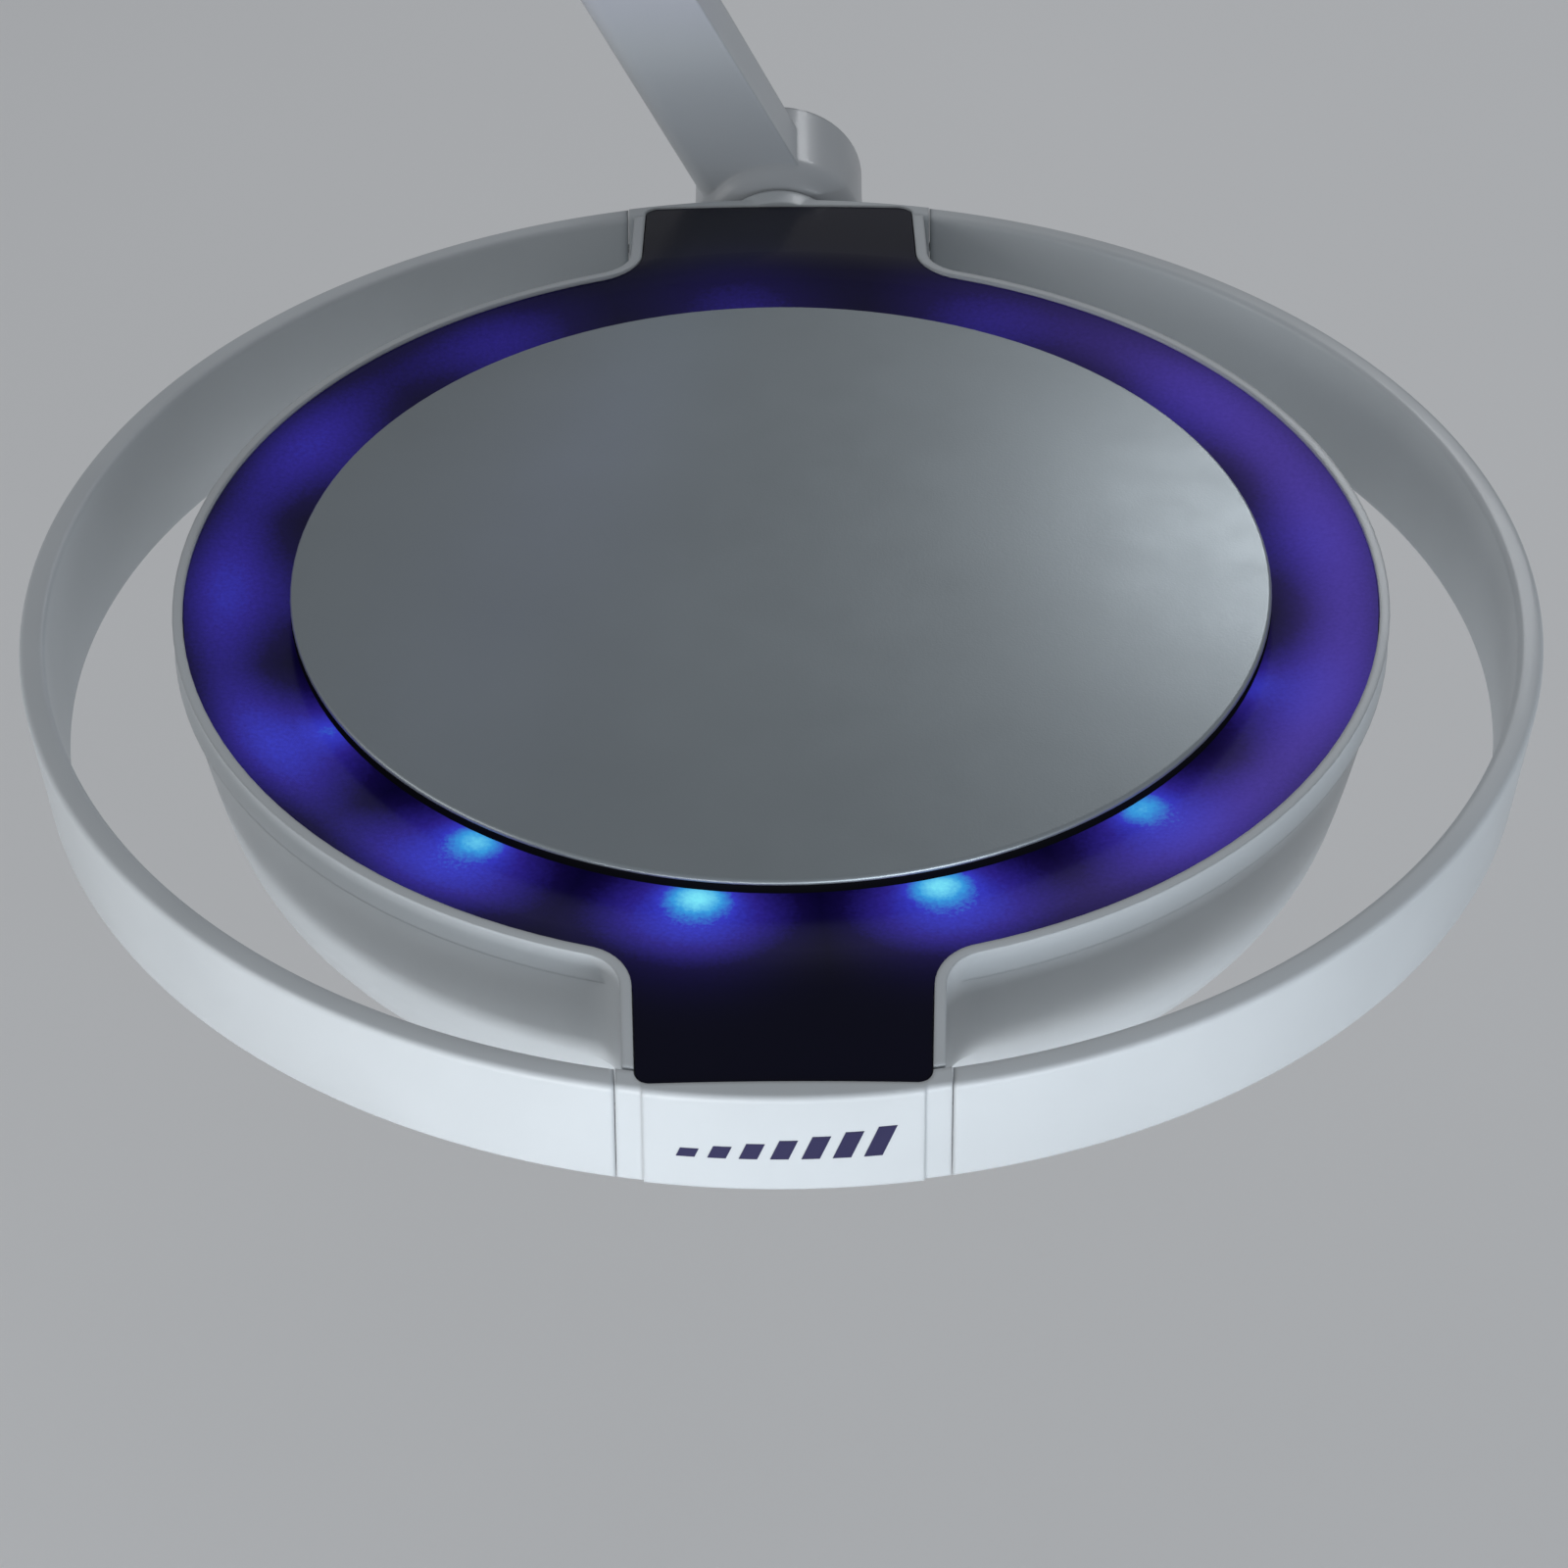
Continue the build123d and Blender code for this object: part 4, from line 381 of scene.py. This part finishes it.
def arm_paint(name):
    """Grey arm paint with a painted violet reflection higher up the arm."""
    material = moulded(name, (0.42, 0.44, 0.46), 0.36, coat=0.2, soft_edge=SOFT_EDGE)
    tree = material.node_tree
    shader = tree.nodes["Principled BSDF"]
    # painted reflection: the grey turns half way to violet going up the arm
    climb = node(tree, "ShaderNodeMapRange", From_Min=HEAD.z + VIOLET_REFLECTION_FROM, From_Max=HEAD.z + VIOLET_REFLECTION_TO)
    tree.links.new(object_height(tree), climb.inputs["Value"])
    share = product(tree, climb.outputs["Result"], 0.5)
    tree.links.new(mixed(tree, share, base_tone(shader), (0.30, 0.27, 0.46)), shader.inputs["Base Color"])
    return material


SLOT_MATERIALS = {
    "shell_white": lambda name: moulded(name, (0.52, 0.55, 0.57), 0.40, coat=0.1, soft_edge=SOFT_EDGE),
    "dome_satin": domed_satin,
    "tinted_window": halo_tint_painted_glow,
    "rubber_black": lambda name: moulded(name, (0.012, 0.012, 0.012), 0.7),
    "deck_black": lambda name: moulded(name, (0.010, 0.010, 0.014), 0.5),
    "board_green": lambda name: circuit(name, (0.01, 0.12, 0.04), (0.05, 0.22, 0.08)),
    "board_white": lambda name: circuit(name, (0.72, 0.73, 0.73), (0.55, 0.52, 0.42)),
    "led_package": lambda name: led_package(name, (0.75, 0.62, 0.25), (1.0, 0.95, 0.86), 0.4),
    "halo_led": lambda name: led_package(name, (0.3, 0.5, 0.8), (0.10, 0.40, 1.0), 3.0),
    "clear_optic": lambda name: clear(name, (0.95, 0.97, 0.99), 0.02, 1.49),
    "front_glass": lambda name: clear(name, (0.96, 0.98, 0.99), 0.0, 1.5),
    "holder_grey": lambda name: moulded(name, (0.05, 0.055, 0.06), 0.5),
    "aluminium": lambda name: moulded(name, (0.62, 0.63, 0.65), 0.42, 700.0, 0.12, 0.05, metallic=1.0),
    "bezel": lambda name: moulded(name, (0.48, 0.50, 0.53), 0.30, 1200.0, 0.06, 0.04, metallic=1.0),
    "screw_steel": lambda name: turned_metal(name, (0.60, 0.60, 0.61), 0.28),
    "shaft_steel": lambda name: turned_metal(name, (0.66, 0.66, 0.67), 0.22),
    "spigot_steel": lambda name: turned_metal(name, (0.74, 0.74, 0.75), 0.16),
    "bronze": lambda name: sintered(name, (0.62, 0.42, 0.20)),
    "friction_disc": lambda name: moulded(name, (0.05, 0.042, 0.036), 0.8, 1200.0, 0.3, 0.2),
    "cap_grey": lambda name: moulded(name, (0.50, 0.53, 0.57), 0.38),
    "component_dark": lambda name: moulded(name, (0.02, 0.02, 0.024), 0.45),
    "arm_paint": arm_paint,
    "print_ink": lambda name: moulded(name, (0.012, 0.010, 0.06), 0.45, spread=0.15),
}


def dress_cad_nodes(made):
    """Give every CAD node the material of its slot."""
    for entry in frame["record"]["subparts"]:
        cad = frame["nodes"][entry["node"]]
        cad.data.materials.clear()
        cad.data.materials.append(made[entry["material_slot"]])


# ================= pieces made here =================

def band_point(x, z, lift):
    """A point on the front badge field, x across and z under the ring's top edge, lifted off it."""
    radius = HEAD.y - band_low.y + EDGE_ROUND + BAND_TAPER * z + lift
    return (HEAD.x + x, HEAD.y - math.sqrt(radius * radius - x * x), HEAD.z + z)


def band_corners():
    """Rounded section of the grip band as (radius, height) points from the ring's top edge."""
    height = handle_high.z - CROWN_STEP - handle_low.z
    corners = [Vector((RING_R - BAND_WALL, CROWN_STEP)), Vector((RING_R, 0)),
               Vector((RING_R - BAND_TAPER * height, -height)),
               Vector((RING_R - BAND_TAPER * height - BAND_WALL, -height))]
    points = []
    for index, corner in enumerate(corners):
        before = (corners[index - 1] - corner).normalized()
        after = (corners[(index + 1) % len(corners)] - corner).normalized()
        half = before.angle(after) / 2
        centre = corner + (before + after).normalized() * BAND_EDGE / math.sin(half)
        start = (corner + before * BAND_EDGE / math.tan(half) - centre).normalized()
        end = (corner + after * BAND_EDGE / math.tan(half) - centre).normalized()
        for step in range(EDGE_STEPS + 1):
            points.append(centre + start.slerp(end, step / EDGE_STEPS) * BAND_EDGE)
    return points


def head_piece(name, mesh, material):
    """A visible piece from a finished mesh, riding on the head."""
    bmesh.ops.recalc_face_normals(mesh, faces=mesh.faces)
    data = bpy.data.meshes.new(name)
    mesh.to_mesh(data)
    mesh.free()
    piece = bpy.data.objects.new(name, data)
    bpy.context.scene.collection.objects.link(piece)
    piece.data.materials.append(material)
    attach(piece, "head")
    return piece


def smooth_handle(cad_name, side, material):
    """One grip handle with its round surfaces drawn smooth, standing for the CAD handle."""
    half_cut = min(abs(corner.x - HEAD.x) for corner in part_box(cad_name))
    mesh = bmesh.new()
    section = band_corners()
    columns = []
    for step in range(HANDLE_STEPS + 1):
        turn = -1 + 2 * step / HANDLE_STEPS
        column = []
        for radius, height in section:
            angle = turn * math.acos(half_cut / radius)
            across = side * radius * math.cos(angle)
            back = radius * math.sin(angle)
            column.append(mesh.verts.new((HEAD.x + across, HEAD.y + back, HEAD.z + height)))
        columns.append(column)
    count = len(section)
    for first, second in zip(columns, columns[1:]):
        for index in range(count):
            after = (index + 1) % count
            mesh.faces.new((first[index], first[after], second[after], second[index])).smooth = True
    mesh.faces.new(columns[0])
    mesh.faces.new(columns[-1])
    piece = head_piece(cad_name + "_smooth", mesh, material)
    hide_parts(cad_name)


def badge_mark(material):
    """Printed mark on the badge field: slanted bars that rise like a dimmer scale."""
    mesh = bmesh.new()
    for index in range(MARK_BARS):
        centre = (index - (MARK_BARS - 1) / 2) * MARK_PITCH
        height = MARK_FIRST + MARK_RISE * index
        grids = []
        for lift in (-MARK_SINK, MARK_INK):
            grid = []
            for row in range(MARK_ROWS + 1):
                climb = height * row / MARK_ROWS
                middle = centre + MARK_SLANT * (climb - height / 2)
                spots = [middle + share * MARK_WIDTH / 2 for share in (-1, -0.5, 0, 0.5, 1)]
                grid.append([mesh.verts.new(band_point(x, MARK_FOOT + climb, lift)) for x in spots])
            grids.append(grid)
        back, front = grids
        columns = len(front[0])
        for row in range(MARK_ROWS):
            for column in range(columns - 1):
                mesh.faces.new((front[row][column], front[row][column + 1], front[row + 1][column + 1],
                                front[row + 1][column]))
                mesh.faces.new((back[row][column], back[row + 1][column], back[row + 1][column + 1],
                                back[row][column + 1]))
        border = ([(0, column) for column in range(columns)]
                  + [(row, columns - 1) for row in range(1, MARK_ROWS + 1)]
                  + [(MARK_ROWS, column) for column in range(columns - 2, -1, -1)]
                  + [(row, 0) for row in range(MARK_ROWS - 1, 0, -1)])
        for (r0, c0), (r1, c1) in zip(border, border[1:] + border[:1]):
            mesh.faces.new((front[r0][c0], back[r0][c0], back[r1][c1], front[r1][c1]))
    head_piece("badge_mark", mesh, material)


# ================= stage =================

def add_floor():
    """Plain pale floor some way under the hanging light."""
    material, tree, shader = new_material("floor_paint")
    place = object_coordinates(tree)
    tone = ramp(tree, noise(tree, place, 1.5), [(0.3, (0.80, 0.80, 0.80)), (0.7, (0.84, 0.84, 0.84))])
    tree.links.new(tone, shader.inputs["Base Color"])
    shader.inputs["Roughness"].default_value = 0.7
    bpy.ops.mesh.primitive_plane_add(size=FLOOR_SIZE, location=(HEAD.x, HEAD.y, handle_low.z - FLOOR_DROP))
    floor = bpy.context.object
    floor.name = "floor"
    floor.data.materials.append(material)


def add_camera():
    """Camera at the photograph's angle: a long lens, looking down at the head from the front."""
    data = bpy.data.cameras.new("camera")
    data.sensor_width = 36.0
    data.lens = 227.8
    data.clip_start = 0.05
    data.clip_end = 100.0
    camera = bpy.data.objects.new("camera", data)
    bpy.context.scene.collection.objects.link(camera)
    camera.location = HEAD + VIEW_DISTANCE * Vector((0, -math.cos(VIEW_ELEVATION), math.sin(VIEW_ELEVATION)))
    level = math.cos(LOOK_PITCH)
    look = Vector((-math.sin(LOOK_TURN) * level, math.cos(LOOK_TURN) * level, -math.sin(LOOK_PITCH)))
    camera.rotation_mode = "QUATERNION"
    camera.rotation_quaternion = look.to_track_quat("-Z", "Y") @ Quaternion((0, 0, 1), LOOK_ROLL)
    bpy.context.scene.camera = camera


def area_light(name, place, size, power, colour):
    """Soft rectangular light aimed at the head."""
    data = bpy.data.lights.new(name, "AREA")
    data.shape = "RECTANGLE"
    data.size, data.size_y = size
    data.energy = power
    data.color = colour
    lamp = bpy.data.objects.new(name, data)
    bpy.context.scene.collection.objects.link(lamp)
    lamp.location = HEAD + Vector(place)
    lamp.rotation_mode = "QUATERNION"
    lamp.rotation_quaternion = (HEAD - lamp.location).to_track_quat("-Z", "Y")


def light_stage():
    """Soft studio light: a cool key and a low strip in front, a small glow behind, a fill and a surround."""
    world = bpy.data.worlds.new("studio")
    bpy.context.scene.world = world
    world.use_nodes = True
    background = world.node_tree.nodes["Background"]
    background.inputs["Color"].default_value = (0.66, 0.68, 0.71, 1)
    background.inputs["Strength"].default_value = 0.44
    area_light("front", (1.7, -3.4, 0.17), (2.38, 1.19), 72.0, (0.86, 0.93, 1.0))
    area_light("low", (-0.6, -1.6, -0.25), (1.2, 0.3), 15.0, (0.96, 0.98, 1.0))
    area_light("glow", (0.66, 1.7, 1.0), (0.45, 0.45), 4.5, (0.95, 0.97, 1.0))
    area_light("fill", (-1.8, -0.4, 0.7), (1.2, 0.8), 5.0, (1.0, 0.99, 0.97))


made_materials = {slot: build(slot) for slot, build in SLOT_MATERIALS.items()}
dress_cad_nodes(made_materials)
smooth_handle("handle_right", 1, made_materials["shell_white"])
smooth_handle("handle_left", -1, made_materials["shell_white"])
badge_mark(made_materials["print_ink"])
add_floor()
light_stage()
add_camera()
bpy.context.scene.view_settings.view_transform = "Standard"
